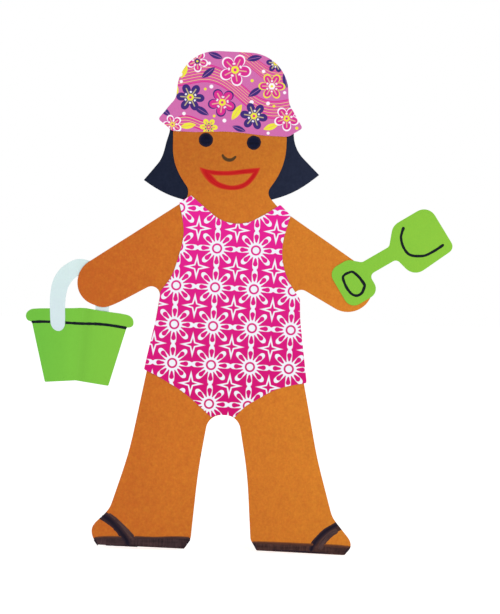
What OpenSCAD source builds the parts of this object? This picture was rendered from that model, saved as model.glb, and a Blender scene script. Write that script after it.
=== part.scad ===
// Paper doll in beach clothes: a figure cut from card, with hair, sun hat, swimsuit,
// bucket and spade cut from coloured and printed paper, and a face and sandals in pen.
// Every outline is drawn flat, x to the viewer's right and y up from the soles,
// and each sheet takes its place in the stack by its depth in front of the back plane.

/* [Paper] */
// Thickness of the figure's card
card_t = 0.4; // [0.25:0.05:0.8]
// Thickness of the hair paper
hair_t = 0.3; // [0.1:0.05:0.5]
// Thickness of the printed paper of the hat and the swimsuit
print_t = 0.25; // [0.1:0.05:0.5]
// Thickness of the green paper of the bucket and the spade
green_t = 0.25; // [0.1:0.05:0.5]
// Thickness of the bucket's handle strip
strip_t = 0.25; // [0.1:0.05:0.4]
// Thickness of an adhesive dot
dot_t = 0.15; // [0.05:0.05:0.5]
// Diameter of an adhesive dot
dot_d = 8; // [4:0.5:10]
// Thickness of the ink film of a pen line
ink_t = 0.04; // [0.02:0.01:0.1]
// Width of a fine pen line
pen_w = 1.5; // [0.5:0.1:2.5]
// Play between the bucket handle's adhesive dot and the hand above it
slip = 0.05; // [0.02:0.01:0.2]

/* [Figure] */
// Height of the crotch above the soles
leg_len = 78; // [60:1:100]
// Height of the hips above the crotch
hip_rise = 24; // [16:1:32]
// Height of the armpits above the crotch
trunk_len = 78; // [65:1:95]
// Height of the neck above the armpits
chest_len = 51; // [44:1:60]
// Height of the head above the neck
head_len = 74; // [62:1:90]
// Width of the head
head_w = 66.8; // [54:0.2:80]
// Radius of the top of the head
head_r = 31; // [15:1:40]
// Height of the cheek corner above the neck
cheek_rise = 16; // [10:0.5:24]
// Width of the neck between its corners
neck_w = 44.4; // [34:0.2:52]
// Width of the shoulders where the arms start
shoulder_w = 58; // [54:1:66]
// Drop from the neck to the shoulders
shoulder_drop = 7.7; // [5:0.1:12]
// Distance from the axis to the middle of a hand
hand_x = 71.9; // [62:0.1:84]
// Drop from the neck to the middle of a hand
hand_drop = 53.9; // [48:0.1:64]
// Diameter of a hand
hand_d = 29; // [22:0.5:34]
// How much nearer to the axis the right hand is cut than the left
hand_in = 1.6; // [0:0.1:3]
// How much higher the right hand is cut than the left
hand_lift = 0.8; // [0:0.1:4]
// Width of the trunk at the armpits
armpit_w = 74; // [64:1:84]
// Width of the hips
hip_w = 90.4; // [80:0.2:100]
// Distance from the axis to the outside of a knee
knee_x = 54.1; // [48:0.1:60]
// Height of the outside of a knee
knee_h = 55.5; // [44:0.5:66]
// Distance from the axis to the outside of an ankle
ankle_x = 64.4; // [58:0.1:70]
// Height of the outside of an ankle
ankle_h = 21.6; // [17:0.1:30]
// Distance from the axis to the tip of a toe
toe_x = 76.4; // [70:0.1:84]
// Height of the tip of a toe
toe_h = 7; // [5:0.1:10]
// Distance from the axis to the outer end of a sole
sole_x = 71.8; // [66:0.1:78]
// Distance from the axis to the heel end of a sole
heel_x = 21; // [19:0.1:26]
// Gap between the legs at the heels
heel_gap = 34.6; // [28:0.2:40]
// Height of the back of a heel
heel_h = 6.2; // [4:0.1:9]
// Gap between the legs at the knees
knee_gap = 29.2; // [24:0.2:34]
// Height of the inside of a knee
inner_knee_h = 44; // [34:0.5:54]
// Gap between the legs at the crotch
crotch_gap = 17.2; // [10:0.2:22]
// How much the left foot is cut higher and the right foot lower at the toe
foot_skew = 1.4; // [0:0.1:3]
// Radius of the cheeks
cheek_r = 38; // [10:1:50]
// Radius of the neck's corners
neck_r = 5; // [1:0.5:8]
// Radius of the shoulders
shoulder_r = 8; // [1:1:20]
// Radius of the armpits
armpit_r = 5; // [1:0.5:8]
// Radius of the hips
hip_r = 90; // [20:5:200]
// Radius of the outside of the knees
knee_r = 220; // [20:10:300]
// Radius of the inside of the knees
inner_knee_r = 260; // [20:10:300]
// Radius of the ankles
ankle_r = 16; // [4:1:24]
// Radius of the toes
toe_r = 6.5; // [1:0.5:8]
// Radius of the soles' ends
sole_r = 0.8; // [0.2:0.1:2]
// Radius of the heels
heel_r = 5; // [1:0.5:8]
// Radius of the crotch's corners
crotch_r = 9; // [2:0.5:9]

/* [Face] */
// Diameter of an eye
eye_d = 8.3; // [4:0.1:12]
// Distance between the eyes
eye_gap = 27.8; // [18:0.2:36]
// Height of the eyes above the neck
eye_rise = 29.7; // [24:0.1:34]
// How much lower the right eye is drawn than the left
eye_drop = 1; // [0:0.1:3]
// Width of the nose line from end to end
nose_w = 7.4; // [4:0.2:12]
// Depth of the curve of the nose
nose_sag = 2.6; // [1:0.1:4]
// Height of the nose above the neck
nose_rise = 21.1; // [17:0.1:24]
// Width of the nose line's stroke
nose_pen = 2; // [0.8:0.1:2.5]
// Width of the smile from corner to corner
smile_w = 34.2; // [24:0.2:40]
// Height of the corners of the smile above the neck
smile_rise = 14.3; // [11:0.1:16]
// How far the upper lip line sags between the corners
lip_sag = 1.7; // [0.5:0.1:3]
// Depth of the smile below its corners
smile_sag = 12.6; // [9:0.1:14]
// Width of the open mouth inside the lip lines
mouth_w = 24.4; // [14:0.2:28]
// Drop from the corners of the smile to the corners of the open mouth
mouth_drop = 3.9; // [3.5:0.1:5]
// Depth of the open mouth below its corners
mouth_sag = 6.2; // [3:0.1:6.5]

/* [Sandals] */
// Height of the sole band at the heel
sole_band = 5.6; // [3:0.1:8]
// Height of the sole band at the toe
toe_band = 4.5; // [3:0.1:7]
// How much lower the left band is drawn at the toe and the right band at the heel
band_skew = 0.7; // [0:0.1:1]
// Width of the strap
strap_w = 5.4; // [3:0.1:8]
// Distance from the ankle out to the strap's upper end
strap_out = 2.9; // [1:0.1:5]
// Drop from the ankle to the strap's upper end
strap_drop = 6; // [3:0.1:7]
// Distance from the ankle in to the strap's foot on the sole
strap_run = 10.9; // [7:0.1:14]
// Height of the strap's foot on the sole
strap_foot = 3.7; // [2:0.1:5]
// How much further in the left strap's foot lies, and further out the right strap's
strap_skew = 2.1; // [0:0.1:3]
// Depth of the strap's curve
strap_sag = 1.3; // [0.2:0.1:3]

/* [Hair] */
// Width of the hair from tip to tip
hair_w = 101.6; // [90:0.2:115]
// Depth of the curve of the hair's lower edge
hair_sag = 16.5; // [10:0.5:18]
// Width of the hair beside the face
hair_face_w = 73.6; // [68:0.2:84]
// Height of the tips above the neck
tip_rise = 8.8; // [6:0.1:14]
// Height above the tips where the flare starts
flare_rise = 15.5; // [10:0.5:22]
// Height of the crown of the hair above the tips
hair_len = 64; // [52:1:66]
// Width of the flat crown of the hair
hair_top_w = 48; // [40:1:54]
// Height above the tips where the crown starts to draw in
hair_side_len = 31; // [26:1:38]
// Distance that the hair lies to the right of the axis
hair_shift = 1.4; // [0:0.1:3]
// Tilt of the hair, right tip up
hair_tilt = 2.9; // [0:0.1:4]
// Radius of the hair's crown
hair_top_r = 22; // [8:1:24]
// Radius of the hair's sides
hair_side_r = 30; // [5:1:40]
// Radius of the flare
flare_r = 20; // [5:1:30]
// Length of the bend in the neck where the head rises over the hair
neck_bend = 12; // [8:1:16]

/* [Hat] */
// Width of the brim from tip to tip
brim_w = 83.4; // [76:0.2:96]
// Width of the crown
hat_w = 63.4; // [62:0.2:70]
// Distance that the crown lies to the right of the brim's middle
crown_shift = 0.5; // [0:0.1:2]
// How much wider the crown is at its foot
crown_flare = 1.4; // [0:0.1:4]
// Height of the crown above the brim tips
hat_h = 41.2; // [38:0.2:50]
// Radius of the crown's corners
hat_r = 23; // [10:1:28]
// Height of the crown's foot above the brim tips
crown_foot = 11.3; // [8:0.1:14]
// Depth of the brim below its tips near the ends
brim_drop = 6.4; // [4:0.1:9]
// Depth of the brim below its tips in the middle
brim_mid = 5.2; // [3:0.1:8]
// Drop from the top of the head to the brim tips
hat_drop = 33.6; // [30:0.2:36]
// Tilt of the hat, right tip down
hat_tilt = 1.6; // [0:0.1:4]
// Width of the slanted ends of the brim
brim_end = 7.3; // [4:0.1:9]
// Width of the middle stretch of the brim's lower edge
brim_flat = 8; // [4:0.5:20]
// Width over which the brim hangs lowest, between its two low points
brim_low_w = 41; // [30:0.5:50]
// Radius of the crown's foot
foot_r = 8; // [2:0.5:12]
// Radius of the brim's tips
tip_r = 1.5; // [0.5:0.1:3]
// Radius of the brim's lower corners
brim_r = 5; // [1:0.5:8]
// Radius of the wave in the brim's lower edge
wave_r = 60; // [10:5:100]

/* [Swimsuit] */
// Drop from the neck to the bottom of the neckline
neckline_drop = 17.9; // [14:0.1:22]
// Distance that the swimsuit lies to the right of the axis
suit_shift = 3.8; // [0:0.1:5]
// Tilt of the swimsuit, right side down
suit_tilt = 2.1; // [0:0.1:4]
// Width of the flat bottom of the neckline
neckline_w = 14; // [6:0.5:20]
// Distance between the inner ends of the straps
strap_gap = 52.2; // [44:0.2:56]
// Distance between the outer ends of the straps
strap_span = 64.4; // [60:0.2:70]
// Height of the straps' inner ends above the neckline
strap_in_h = 13.3; // [9:0.1:16]
// Height of the straps' outer ends above the neckline
strap_out_h = 8.2; // [5:0.1:10]
// Width between the armholes
armhole_gap = 50.8; // [44:0.2:56]
// Drop from the neckline to the deepest point of the armholes
armhole_drop = 21.2; // [16:0.2:26]
// Width of the swimsuit under the arms
bust_w = 81; // [76:0.5:88]
// Drop from the neckline to the foot of the armholes
bust_drop = 41.6; // [36:0.2:46]
// Drop from the neckline to the waist
waist_drop = 53; // [48:1:62]
// Width of the swimsuit at the waist
waist_w = 82.6; // [78:0.2:88]
// Width of the swimsuit at the hips
suit_hip_w = 94.6; // [88:0.2:102]
// Drop from the neckline to the hips
suit_hip_drop = 88.2; // [80:0.2:92]
// Width where the leg openings turn
leg_turn_w = 46; // [38:0.5:56]
// Drop from the neckline to the turn of the leg openings
leg_turn_drop = 97.8; // [94:0.2:102]
// Width of the crotch
crotch_w = 13.4; // [10:0.2:18]
// Drop from the neckline to the crotch corners
crotch_drop = 112.8; // [106:0.2:118]
// Height of the arch between the crotch corners
crotch_arch = 1.6; // [0.5:0.1:3]
// How much the left strap and hip are cut higher and the right ones lower
suit_skew = 1.5; // [0:0.1:2]
// Radius of the neckline
neckline_r = 22; // [4:1:30]
// Radius of the armholes
armhole_r = 38; // [5:1:50]
// Radius of the corners under the arms
bust_r = 2; // [0.5:0.1:4]
// Radius of the waist
waist_r = 60; // [5:5:100]
// Radius of the leg openings
leg_turn_r = 80; // [10:5:120]
// Radius of the arch at the crotch
arch_edge_r = 4; // [1:0.5:6]
// Radius of the sharp corners
snip_r = 0.7; // [0.2:0.1:1.5]

/* [Bucket] */
// Distance of the bucket's middle to the left of the left hand
bucket_out = 13.4; // [11:0.1:16]
// Gap between the hand and the top of the bucket
hang_gap = 0.5; // [0.1:0.1:3]
// Tilt of the bucket, right side down
bucket_tilt = 2.3; // [0:0.1:3]
// Width of the rim
rim_w = 62.8; // [58:0.2:70]
// Height of the rim's ends
rim_h = 6.8; // [4:0.2:8]
// Rise of the rim's top edge towards the middle
rim_rise = 2.2; // [0:0.1:3.5]
// Width of the bucket under the rim
mouth_width = 55; // [50:0.5:57]
// Width of the bucket's bottom
base_w = 36.8; // [28:0.2:46]
// Distance that the bottom is cut to the right of the fold
base_shift = 0.7; // [0:0.1:2]
// Height of the bucket under the rim
side_h = 34.4; // [28:0.2:42]
// Height from the bucket's middle to the rim's lower edge
rim_seat = 12.4; // [9:0.1:15]
// Height of the rim's lower corners above its lower edge
rim_step = 0.6; // [0.2:0.1:1.5]
// How much shorter the rim is along its lower edge
rim_slant = 0.8; // [0:0.1:2]
// Radius of the rim's upper corners
rim_r = 3.6; // [1:0.1:4]
// Radius of the rim's lower corners
rim_low_r = 2.9; // [0.5:0.1:3]
// Radius of the corners under the rim
mouth_r = 0.5; // [0.2:0.1:1.5]
// Radius of the bottom's corners
base_r = 0.8; // [0.2:0.1:3]
// Height of the notch in the bottom edge at the fold
notch = 2; // [0.5:0.1:4]
// How far the fold stands forward of the rim's ends
fold_rise = 1; // [0.8:0.1:2]
// Width of the handle strip
strip_w = 8.8; // [6:0.2:10]
// Radius of the handle's arch to the middle of the strip
arch_r = 12.6; // [10:0.1:14]
// Drop from the hand's middle to the centre of the handle's arch
arch_drop = 4; // [1:0.1:6]
// Drop from the rim's top edge to the centres of the handle's round ends
tail_lap = 7.5; // [4:0.1:12]
// Rise of the rim line towards the middle
line_rise = 1.2; // [0:0.1:2.5]
// Clear space between the rim line and the handle that covers it
line_gap = 0.2; // [0.1:0.05:0.5]

/* [Spade] */
// Distance of the spade's shaft middle to the right of the right hand
spade_out = 17.2; // [13:0.1:19]
// Height of the spade's shaft middle above the right hand
spade_up = 15.4; // [12:0.1:18]
// Angle of the shaft above the horizontal
spade_angle = 31.8; // [20:0.2:45]
// Width of the shaft
shaft_w = 8.5; // [5:0.1:12]
// Distance from the shaft's middle to the near end of the grip
grip_near = 8.3; // [6:0.1:10]
// Length of the grip along the shaft
grip_len = 19.7; // [16:0.1:24]
// Reach of the grip above the shaft's axis
grip_up = 9.8; // [7:0.1:13]
// Reach of the grip below the shaft's axis
grip_down = 15.9; // [12:0.1:19]
// Distance from the shaft's middle to the shoulders of the blade
blade_near = 13.5; // [11:0.1:16]
// Distance from the shaft's middle to the tip of the blade
blade_far = 42.2; // [36:0.1:50]
// Reach of the blade above the shaft's axis
blade_up = 13.7; // [11:0.1:18]
// Reach of the blade below the shaft's axis
blade_down = 18.1; // [14:0.1:22]
// Half width of the grip's oval along the shaft
oval_a = 4.8; // [3:0.1:7]
// Half width of the grip's oval across the shaft
oval_b = 7.1; // [4:0.1:9]
// Drop from the grip's middle to the oval's middle
oval_drop = 1; // [0:0.1:3]
// Distance from the shoulders of the blade to the scoop line
scoop_in = 2.6; // [2:0.1:5]
// Distance from the blade's lower edge to the scoop line
scoop_edge = 6.9; // [4:0.1:9]
// Distance from the blade's upper edge to the scoop line
scoop_top = 4; // [2.5:0.1:6]
// Rise of the scoop line from its end to its turn
scoop_rise = 1.4; // [0:0.1:3]
// Distance from the blade's tip to the end of the scoop line
scoop_end = 4.6; // [3:0.1:8]
// Length of the slope from the grip down to the shaft
grip_slope = 6.5; // [3:0.1:8]
// Length of the slope from the shaft up to the blade's upper shoulder
upper_slope = 8; // [4:0.1:10]
// Length of the slope from the shaft down to the blade's lower shoulder
lower_slope = 3.5; // [2:0.1:6]
// How much the blade's lower edge rises towards its tip
blade_taper = 2.2; // [0:0.1:4]
// How much further the blade's tip reaches at its lower corner
tip_slant = 0.3; // [0:0.1:3]
// Radius of the grip's corners
grip_r = 6; // [2:0.5:7]
// Radius of the corners beside the shaft
shaft_r = 3; // [0.5:0.5:4]
// Radius of the blade's shoulders
blade_r = 8; // [2:0.5:10]
// Radius of the upper corner of the blade's tip
blade_top_r = 7.5; // [1:0.1:10]
// Radius of the lower corner of the blade's tip
blade_tip_r = 4.2; // [1:0.1:6]
// Length of the slanted start of the scoop line
scoop_slope = 6.5; // [3:0.1:9]
// Radius of the scoop line's turns
scoop_r = 8.5; // [3:0.5:9]

/* [Hidden] */
$fn = 64;

// Largest distance between an arc and the short straight lines that draw it
arc_tol = 0.02;
// Distance under which two points of an outline are one
same = 0.1;
// Depth that clears every sheet, and a side length that clears every outline
clear_d = 10;
clear_l = 400;
// Overlap of two stretches of one sheet where they are joined
join = 1;

// Landmarks on the figure
armpit_h = leg_len + trunk_len;
neck_h = armpit_h + chest_len;
crown_h = neck_h + head_len;
hand_h = neck_h - hand_drop;
hand_r = hand_d / 2;
right_hand = [hand_x - hand_in, hand_h + hand_lift];
tip_h = neck_h + tip_rise;
// Height of the origin, the point on the back where the doll is stuck down
mount_h = leg_len + trunk_len / 2;

// Depths of the sheets in front of the back plane
head_d = hair_t;
face_d = head_d + card_t;
hat_d = face_d + dot_t;
held_hand_d = strip_t + dot_t + slip;
spade_d = card_t + dot_t;

// Bend of the neck, finished below the lowest point of the hair
hair_margin = 0.8;
bend_top_h = tip_h - hair_sag - hair_margin;
bend_low_h = bend_top_h - neck_bend;

// Bucket sizes in its own frame, with the fold at x = 0
rim_x = rim_w / 2;
rim_top = rim_seat + rim_step + rim_h;
bucket_drop = hand_r + hang_gap + rim_top + rim_rise;
bucket_at = [-hand_x - bucket_out, hand_h - bucket_drop];
arch_h = bucket_drop - arch_drop;
tail_h = rim_top - tail_lap;
fold_slope = fold_rise / rim_x;
// Depth of the rim's ends, lifted where the handle behind the bucket is too thick for the fold
rim_d = max(0, strip_t + slip - fold_rise + fold_slope * (arch_r + strip_w / 2));
// The handle leaves the bucket's front beside its inner edge and lands before the hand
handle_in_x = arch_r - strip_w / 2;
leave_margin = 0.4;
land_margin = 0.5;
hand_edge_x = (hand_r - bucket_out) * cos(bucket_tilt) + bucket_drop * sin(bucket_tilt);
land_x = hand_edge_x + land_margin;

// Bend of the left arm over the handle, which starts clear of the strip's outer edge
arm_bend = 8;
arm_margin = 2;
handle_edge_x = bucket_at[0] + arch_r + strip_w / 2 + arch_h * sin(bucket_tilt);
arm_high_x = handle_edge_x + arm_margin;
arm_low_x = arm_high_x + arm_bend;
// Height between the leg and the arm, where the left side is divided
split_h = (hand_h - hand_r + leg_len) / 2;

// Places of the adhesive dots: out from the axis, down from the neck, and round the handle's arch
dot_side = 14;
chest_dot_drop = 35;
arch_dot_angle = 45;
// Margin of the handle's dot inside the strip, and its diameter
dot_edge = 1;
arch_dot_d = min(dot_d, strip_w - 2 * dot_edge);

function unit(v) = v / norm(v);
function flat(p) = [p[0], p[1]];
function backwards(p) = [for (i = [len(p) - 1 : -1 : 0]) p[i]];
function limit(v) = max(-1, min(1, v));
function distinct(p) =
    let (n = len(p)) [for (i = [0 : n - 1]) if (norm(p[i] - p[(i + n - 1) % n]) > same) p[i]];
function sweep(a, b) = let (d = b - a) d - 360 * floor((d + 180) / 360);

// Points of an arc about c, both ends included, as corners without rounding
function arc(c, r, a, turn) =
    let (n = max(2, ceil(abs(turn) / (2 * acos(limit(1 - arc_tol / max(r, 2 * arc_tol)))))))
    [for (k = [0 : n]) [c[0] + r * cos(a + turn * k / n), c[1] + r * sin(a + turn * k / n), 0]];

// Arc from a to b that bulges by sag to the left of the way
function bow(a, b, sag) =
    let (half = norm(b - a) / 2,
         u = unit(b - a),
         r = (half * half + sag * sag) / (2 * abs(sag)),
         c = (a + b) / 2 + [-u[1], u[0]] * (sag - sign(sag) * r),
         start = atan2(a[1] - c[1], a[0] - c[0]),
         end = atan2(b[1] - c[1], b[0] - c[0]))
    arc(c, r, start, sweep(start, end));

// Opening angle of the corner at b, and the length that its rounding wants on each side
function opening(a, b, c) = acos(limit(unit(flat(a - b)) * unit(flat(c - b))));
function wanted(a, b, c) = b[2] == 0 ? 0 : b[2] / tan(opening(a, b, c) / 2);

// Arc that rounds the corner at b over the length t of both its edges
function corner(a, b, c, t) =
    let (u = unit(flat(a - b)),
         v = unit(flat(c - b)),
         half = opening(a, b, c) / 2,
         r = t * tan(half),
         m = flat(b) + unit(u + v) * r / sin(half),
         p = flat(b) + u * t - m,
         q = flat(b) + v * t - m,
         start = atan2(p[1], p[0]),
         end = atan2(q[1], q[0]))
    arc(m, r, start, sweep(start, end));

// Outline or open path through corners [x, y, radius], each rounded as far as its edges allow
function rounded(p, closed = true) =
    let (n = len(p),
         want = [for (i = [0 : n - 1]) !closed && (i == 0 || i == n - 1) ? 0
                 : wanted(p[(i + n - 1) % n], p[i], p[(i + 1) % n])],
         share = [for (i = [0 : n - 1])
                  let (j = (i + 1) % n, edge = norm(flat(p[j] - p[i])))
                  edge / max(edge, want[i] + want[j])],
         fit = [for (i = [0 : n - 1]) want[i] * min(share[i], share[(i + n - 1) % n])])
    distinct([for (i = [0 : n - 1])
              each fit[i] < arc_tol ? [flat(p[i])]
              : [for (k = corner(p[(i + n - 1) % n], p[i], p[(i + 1) % n], fit[i])) flat(k)]]);

// Closed outline from the corners of its right side, from top to bottom
function both(right, left) = concat(right, [for (p = backwards(left)) [-p[0], p[1], p[2]]]);

// Outline of a line of width w along an open path, with round ends
function stroke(path, w) =
    let (n = len(path),
         way = [for (i = [0 : n - 1]) unit(flat(path[min(i + 1, n - 1)] - path[max(i - 1, 0)]))],
         side = [for (i = [0 : n - 1]) [-way[i][1], way[i][0]] * w / 2],
         head = atan2(side[n - 1][1], side[n - 1][0]),
         tail = atan2(-side[0][1], -side[0][0]))
    distinct(concat([for (i = [0 : n - 1]) flat(path[i]) + side[i]],
                    [for (p = arc(path[n - 1], w / 2, head, -180)) flat(p)],
                    [for (i = [n - 1 : -1 : 0]) flat(path[i]) - side[i]],
                    [for (p = arc(path[0], w / 2, tail, -180)) flat(p)]));

function oval(a, b) = [for (k = [0 : 360 / $fn : 359]) [a * cos(k), b * sin(k)]];

// Hand about m with the arm's edges tangent to it, from the shoulder s round to the armpit a
function hand(m, s, a) =
    let (up = s - m,
         down = a - m,
         start = atan2(up[1], up[0]) - acos(hand_r / norm(up)),
         end = atan2(down[1], down[0]) + acos(hand_r / norm(down)))
    arc(m, hand_r, start, end - 360 - start);

// Half of the figure with its hand about m and its foot lowered by skew at the toe
function figure_half(m, skew) =
    let (s = [shoulder_w / 2, neck_h - shoulder_drop],
         a = [armpit_w / 2, armpit_h])
    concat([[head_w / 2, crown_h, head_r],
            [head_w / 2, neck_h + cheek_rise, cheek_r],
            [neck_w / 2, neck_h, neck_r],
            [s[0], s[1], shoulder_r]],
           hand(m, s, a),
           [[a[0], a[1], armpit_r],
            [hip_w / 2, leg_len + hip_rise, hip_r],
            [knee_x, knee_h, knee_r],
            [ankle_x, ankle_h - skew, ankle_r],
            [toe_x, toe_h - skew, toe_r],
            [sole_x, -skew, sole_r],
            [heel_x, 0, sole_r],
            [heel_gap / 2, heel_h, heel_r],
            [knee_gap / 2, inner_knee_h, inner_knee_r],
            [crotch_gap / 2, leg_len, crotch_r]]);
figure_outline = rounded(both(figure_half(right_hand, foot_skew),
                              figure_half([hand_x, hand_h], -foot_skew)));

// Hair about the middle of its tips
hair_half = [[hair_top_w / 2, hair_len, hair_top_r],
             [hair_face_w / 2, hair_side_len, hair_side_r],
             [hair_face_w / 2, flare_rise, flare_r]];
hair_outline = rounded(concat(hair_half, bow([hair_w / 2, 0], [-hair_w / 2, 0], hair_sag),
                              [for (p = backwards(hair_half)) [-p[0], p[1], p[2]]]));

// Hat about the middle of its brim tips
function hat_half(shift) = [[hat_w / 2 + shift, hat_h, hat_r],
                            [(hat_w + crown_flare) / 2 + shift, crown_foot, foot_r],
                            [brim_w / 2, 0, tip_r],
                            [brim_w / 2 - brim_end, -brim_drop, brim_r],
                            [brim_low_w / 2, -brim_drop, wave_r],
                            [brim_flat / 2, -brim_mid, wave_r]];
hat_outline = rounded(both(hat_half(crown_shift), hat_half(-crown_shift)));

// Swimsuit about the bottom of its neckline, from the neckline round to the crotch
function suit_half(skew) = [[neckline_w / 2, 0, neckline_r],
                            [strap_gap / 2, strap_in_h - skew, snip_r],
                            [strap_span / 2, strap_out_h - skew, snip_r],
                            [armhole_gap / 2, -armhole_drop, armhole_r],
                            [bust_w / 2, -bust_drop, bust_r],
                            [waist_w / 2, -waist_drop, waist_r],
                            [suit_hip_w / 2, -suit_hip_drop - skew, snip_r],
                            [leg_turn_w / 2, skew - leg_turn_drop, leg_turn_r],
                            [crotch_w / 2, -crotch_drop, snip_r],
                            [crotch_w / 4, crotch_arch - crotch_drop, arch_edge_r]];
suit_outline = rounded(both(suit_half(suit_skew), suit_half(-suit_skew)));

// Half of the bucket about its middle, with its bottom moved out from the fold by shift
function bucket_half(shift) = [[rim_x, rim_top, rim_r],
                               [rim_x - rim_slant / 2, rim_seat + rim_step, rim_low_r],
                               [mouth_width / 2, rim_seat, mouth_r],
                               [base_w / 2 + shift, rim_seat - side_h, base_r]];
bucket_outline = rounded(both(concat([[0, rim_top + rim_rise, 0]], bucket_half(base_shift),
                                     [[0, rim_seat - side_h + notch, 0]]),
                              bucket_half(-base_shift)));
handle_path = concat([[-arch_r, tail_h, 0]], arc([0, arch_h], arch_r, 180, -180), [[arch_r, tail_h, 0]]);
rim_line_path = bow([-mouth_width / 2, rim_seat], [mouth_width / 2, rim_seat], line_rise);

// Spade along its shaft, from the grip to the blade
shaft_y = shaft_w / 2;
grip_far = grip_near + grip_len;
spade_outline = rounded([[-grip_far, grip_up, grip_r],
                         [-grip_near - grip_slope, grip_up, grip_r],
                         [-grip_near, shaft_y, shaft_r],
                         [blade_near - lower_slope, shaft_y, shaft_r],
                         [blade_near - lower_slope + upper_slope, blade_up, blade_r],
                         [blade_far - tip_slant, blade_up, blade_top_r],
                         [blade_far, blade_taper - blade_down, blade_tip_r],
                         [blade_near, -blade_down, blade_r],
                         [blade_near - lower_slope, -shaft_y, shaft_r],
                         [-grip_near, -shaft_y, shaft_r],
                         [-grip_near, -grip_down, grip_r],
                         [-grip_far, -grip_down, grip_r]]);
scoop_x = blade_near + scoop_in;
scoop_y = scoop_edge - blade_down;
scoop_path = rounded([[scoop_x + scoop_slope, blade_up - scoop_top, 0],
                      [scoop_x, (blade_up + scoop_y) / 2, scoop_r],
                      [scoop_x, scoop_y + scoop_rise, scoop_r],
                      [blade_far - scoop_end, scoop_y, 0]], false);
oval_x = -grip_near - grip_len / 2;
oval_y = (grip_up - grip_down) / 2 - oval_drop;

// Sides of a sheet that follows the line [along, depth] and is t thick
function bent(line, t) = concat(line, [for (p = backwards(line)) p + [0, t]]);
// Back of the figure along its height, and the same line moved forward by d
function neck_line(d) = [[-clear_l, d], [bend_low_h, d], [bend_top_h, d + head_d], [clear_l, d + head_d]];
// Back of the left arm along its length
arm_line = [[-clear_l, held_hand_d], [arm_high_x, held_hand_d], [arm_low_x, 0], [arm_low_x + join, 0]];
// Back of the folded bucket along its width, and the same line moved forward by d
function fold_at(x) = rim_d + fold_rise - fold_slope * abs(x);
function fold_line(d) = [for (x = [-2 * rim_x, 0, 2 * rim_x]) [x, d + fold_at(x)]];
// Back of the handle along the bucket's width: on its front, then down behind the hand
leave_x = handle_in_x - leave_margin;
handle_line = [[-2 * rim_x, green_t + fold_at(2 * rim_x)], [-leave_x, green_t + fold_at(leave_x)],
               [-land_x, 0], [2 * rim_x, 0]];

// Turns the flat drawing upright, with the doll facing -Y and the origin on its back
module stand() {
    translate([0, 0, -mount_h]) rotate([90, 0, 0]) children();
}
// Flat sheet of thickness t at depth d
module sheet(d, t) {
    translate([0, 0, d]) linear_extrude(t) children();
}
// Part of the drawing's outline that lies in a sheet bent along its height
module bend_up(line, t, x_low) {
    translate([x_low, 0, 0]) rotate([90, 0, 90]) linear_extrude(clear_l) polygon(bent(line, t));
}
// Part of the drawing's outline that lies in a sheet bent along its width
module bend_across(line, t, h_low) {
    translate([0, h_low + clear_l, 0]) rotate([90, 0, 0]) linear_extrude(clear_l) polygon(bent(line, t));
}
// Straight walls of a cut outline, deep enough for every bend
module cut() {
    translate([0, 0, -clear_d]) linear_extrude(2 * clear_d) children();
}

// Places of the loose pieces on the drawing
module at_hair() { translate([hair_shift, tip_h]) rotate(hair_tilt) children(); }
module at_hat() { translate([0, crown_h - hat_drop]) rotate(-hat_tilt) children(); }
module at_suit() { translate([suit_shift, neck_h - neckline_drop]) rotate(-suit_tilt) children(); }
module at_bucket() { translate(bucket_at) rotate(-bucket_tilt) children(); }
module at_spade() { translate(right_hand + [spade_out, spade_up]) rotate(spade_angle) children(); }

module figure() {
    color([0.79, 0.43, 0.15]) stand() intersection() {
        cut() polygon(figure_outline);
        union() {
            bend_up(neck_line(0), card_t, arm_low_x);
            bend_across(arm_line, card_t, split_h);
            translate([arm_low_x - clear_l, split_h - clear_l, 0]) cube([clear_l + join, clear_l, card_t]);
        }
    }
}

module hair() {
    color([0.1, 0.14, 0.22]) stand() at_hair() sheet(0, hair_t) polygon(hair_outline);
}

module hat() {
    color([0.85, 0.48, 0.68]) stand() at_hat() sheet(hat_d, print_t) polygon(hat_outline);
}

module swimsuit() {
    color([0.86, 0.13, 0.52]) stand() intersection() {
        at_suit() cut() polygon(suit_outline);
        bend_up(neck_line(card_t + dot_t), print_t, -clear_l / 2);
    }
}

module bucket() {
    color([0.46, 0.75, 0.26]) stand() at_bucket() intersection() {
        cut() polygon(bucket_outline);
        bend_across(fold_line(0), green_t, -clear_l / 2);
    }
}

module bucket_handle() {
    color([0.83, 0.9, 0.9]) stand() at_bucket() intersection() {
        cut() polygon(stroke(handle_path, strip_w));
        bend_across(handle_line, strip_t, -clear_l / 2);
    }
}

module spade() {
    color([0.55, 0.79, 0.25]) stand() at_spade() sheet(spade_d, green_t) polygon(spade_outline);
}

// Adhesive dots under the pieces that peel off
module hat_dots() {
    color([0.93, 0.92, 0.86]) stand() sheet(face_d, dot_t) for (side = [-1, 1])
        translate([side * dot_side, crown_h - hat_drop + crown_foot]) circle(d = dot_d);
}

module swimsuit_dots() {
    color([0.93, 0.92, 0.86]) stand() sheet(card_t, dot_t) {
        for (side = [-1, 1]) translate([side * dot_side, neck_h - chest_dot_drop]) circle(d = dot_d);
        translate([0, leg_len + hip_rise]) circle(d = dot_d);
    }
}

module spade_dot() {
    color([0.93, 0.92, 0.86]) stand() sheet(card_t, dot_t) translate(right_hand) circle(d = dot_d);
}

module handle_dot() {
    color([0.93, 0.92, 0.86]) stand() at_bucket() sheet(strip_t, dot_t)
        translate([0, arch_h]) rotate(arch_dot_angle) translate([arch_r, 0]) circle(d = arch_dot_d);
}

module eyes() {
    color([0.08, 0.1, 0.15]) stand() sheet(face_d, ink_t) for (side = [-1, 1])
        translate([side * eye_gap / 2, neck_h + eye_rise - side * eye_drop / 2]) circle(d = eye_d);
}

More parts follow.
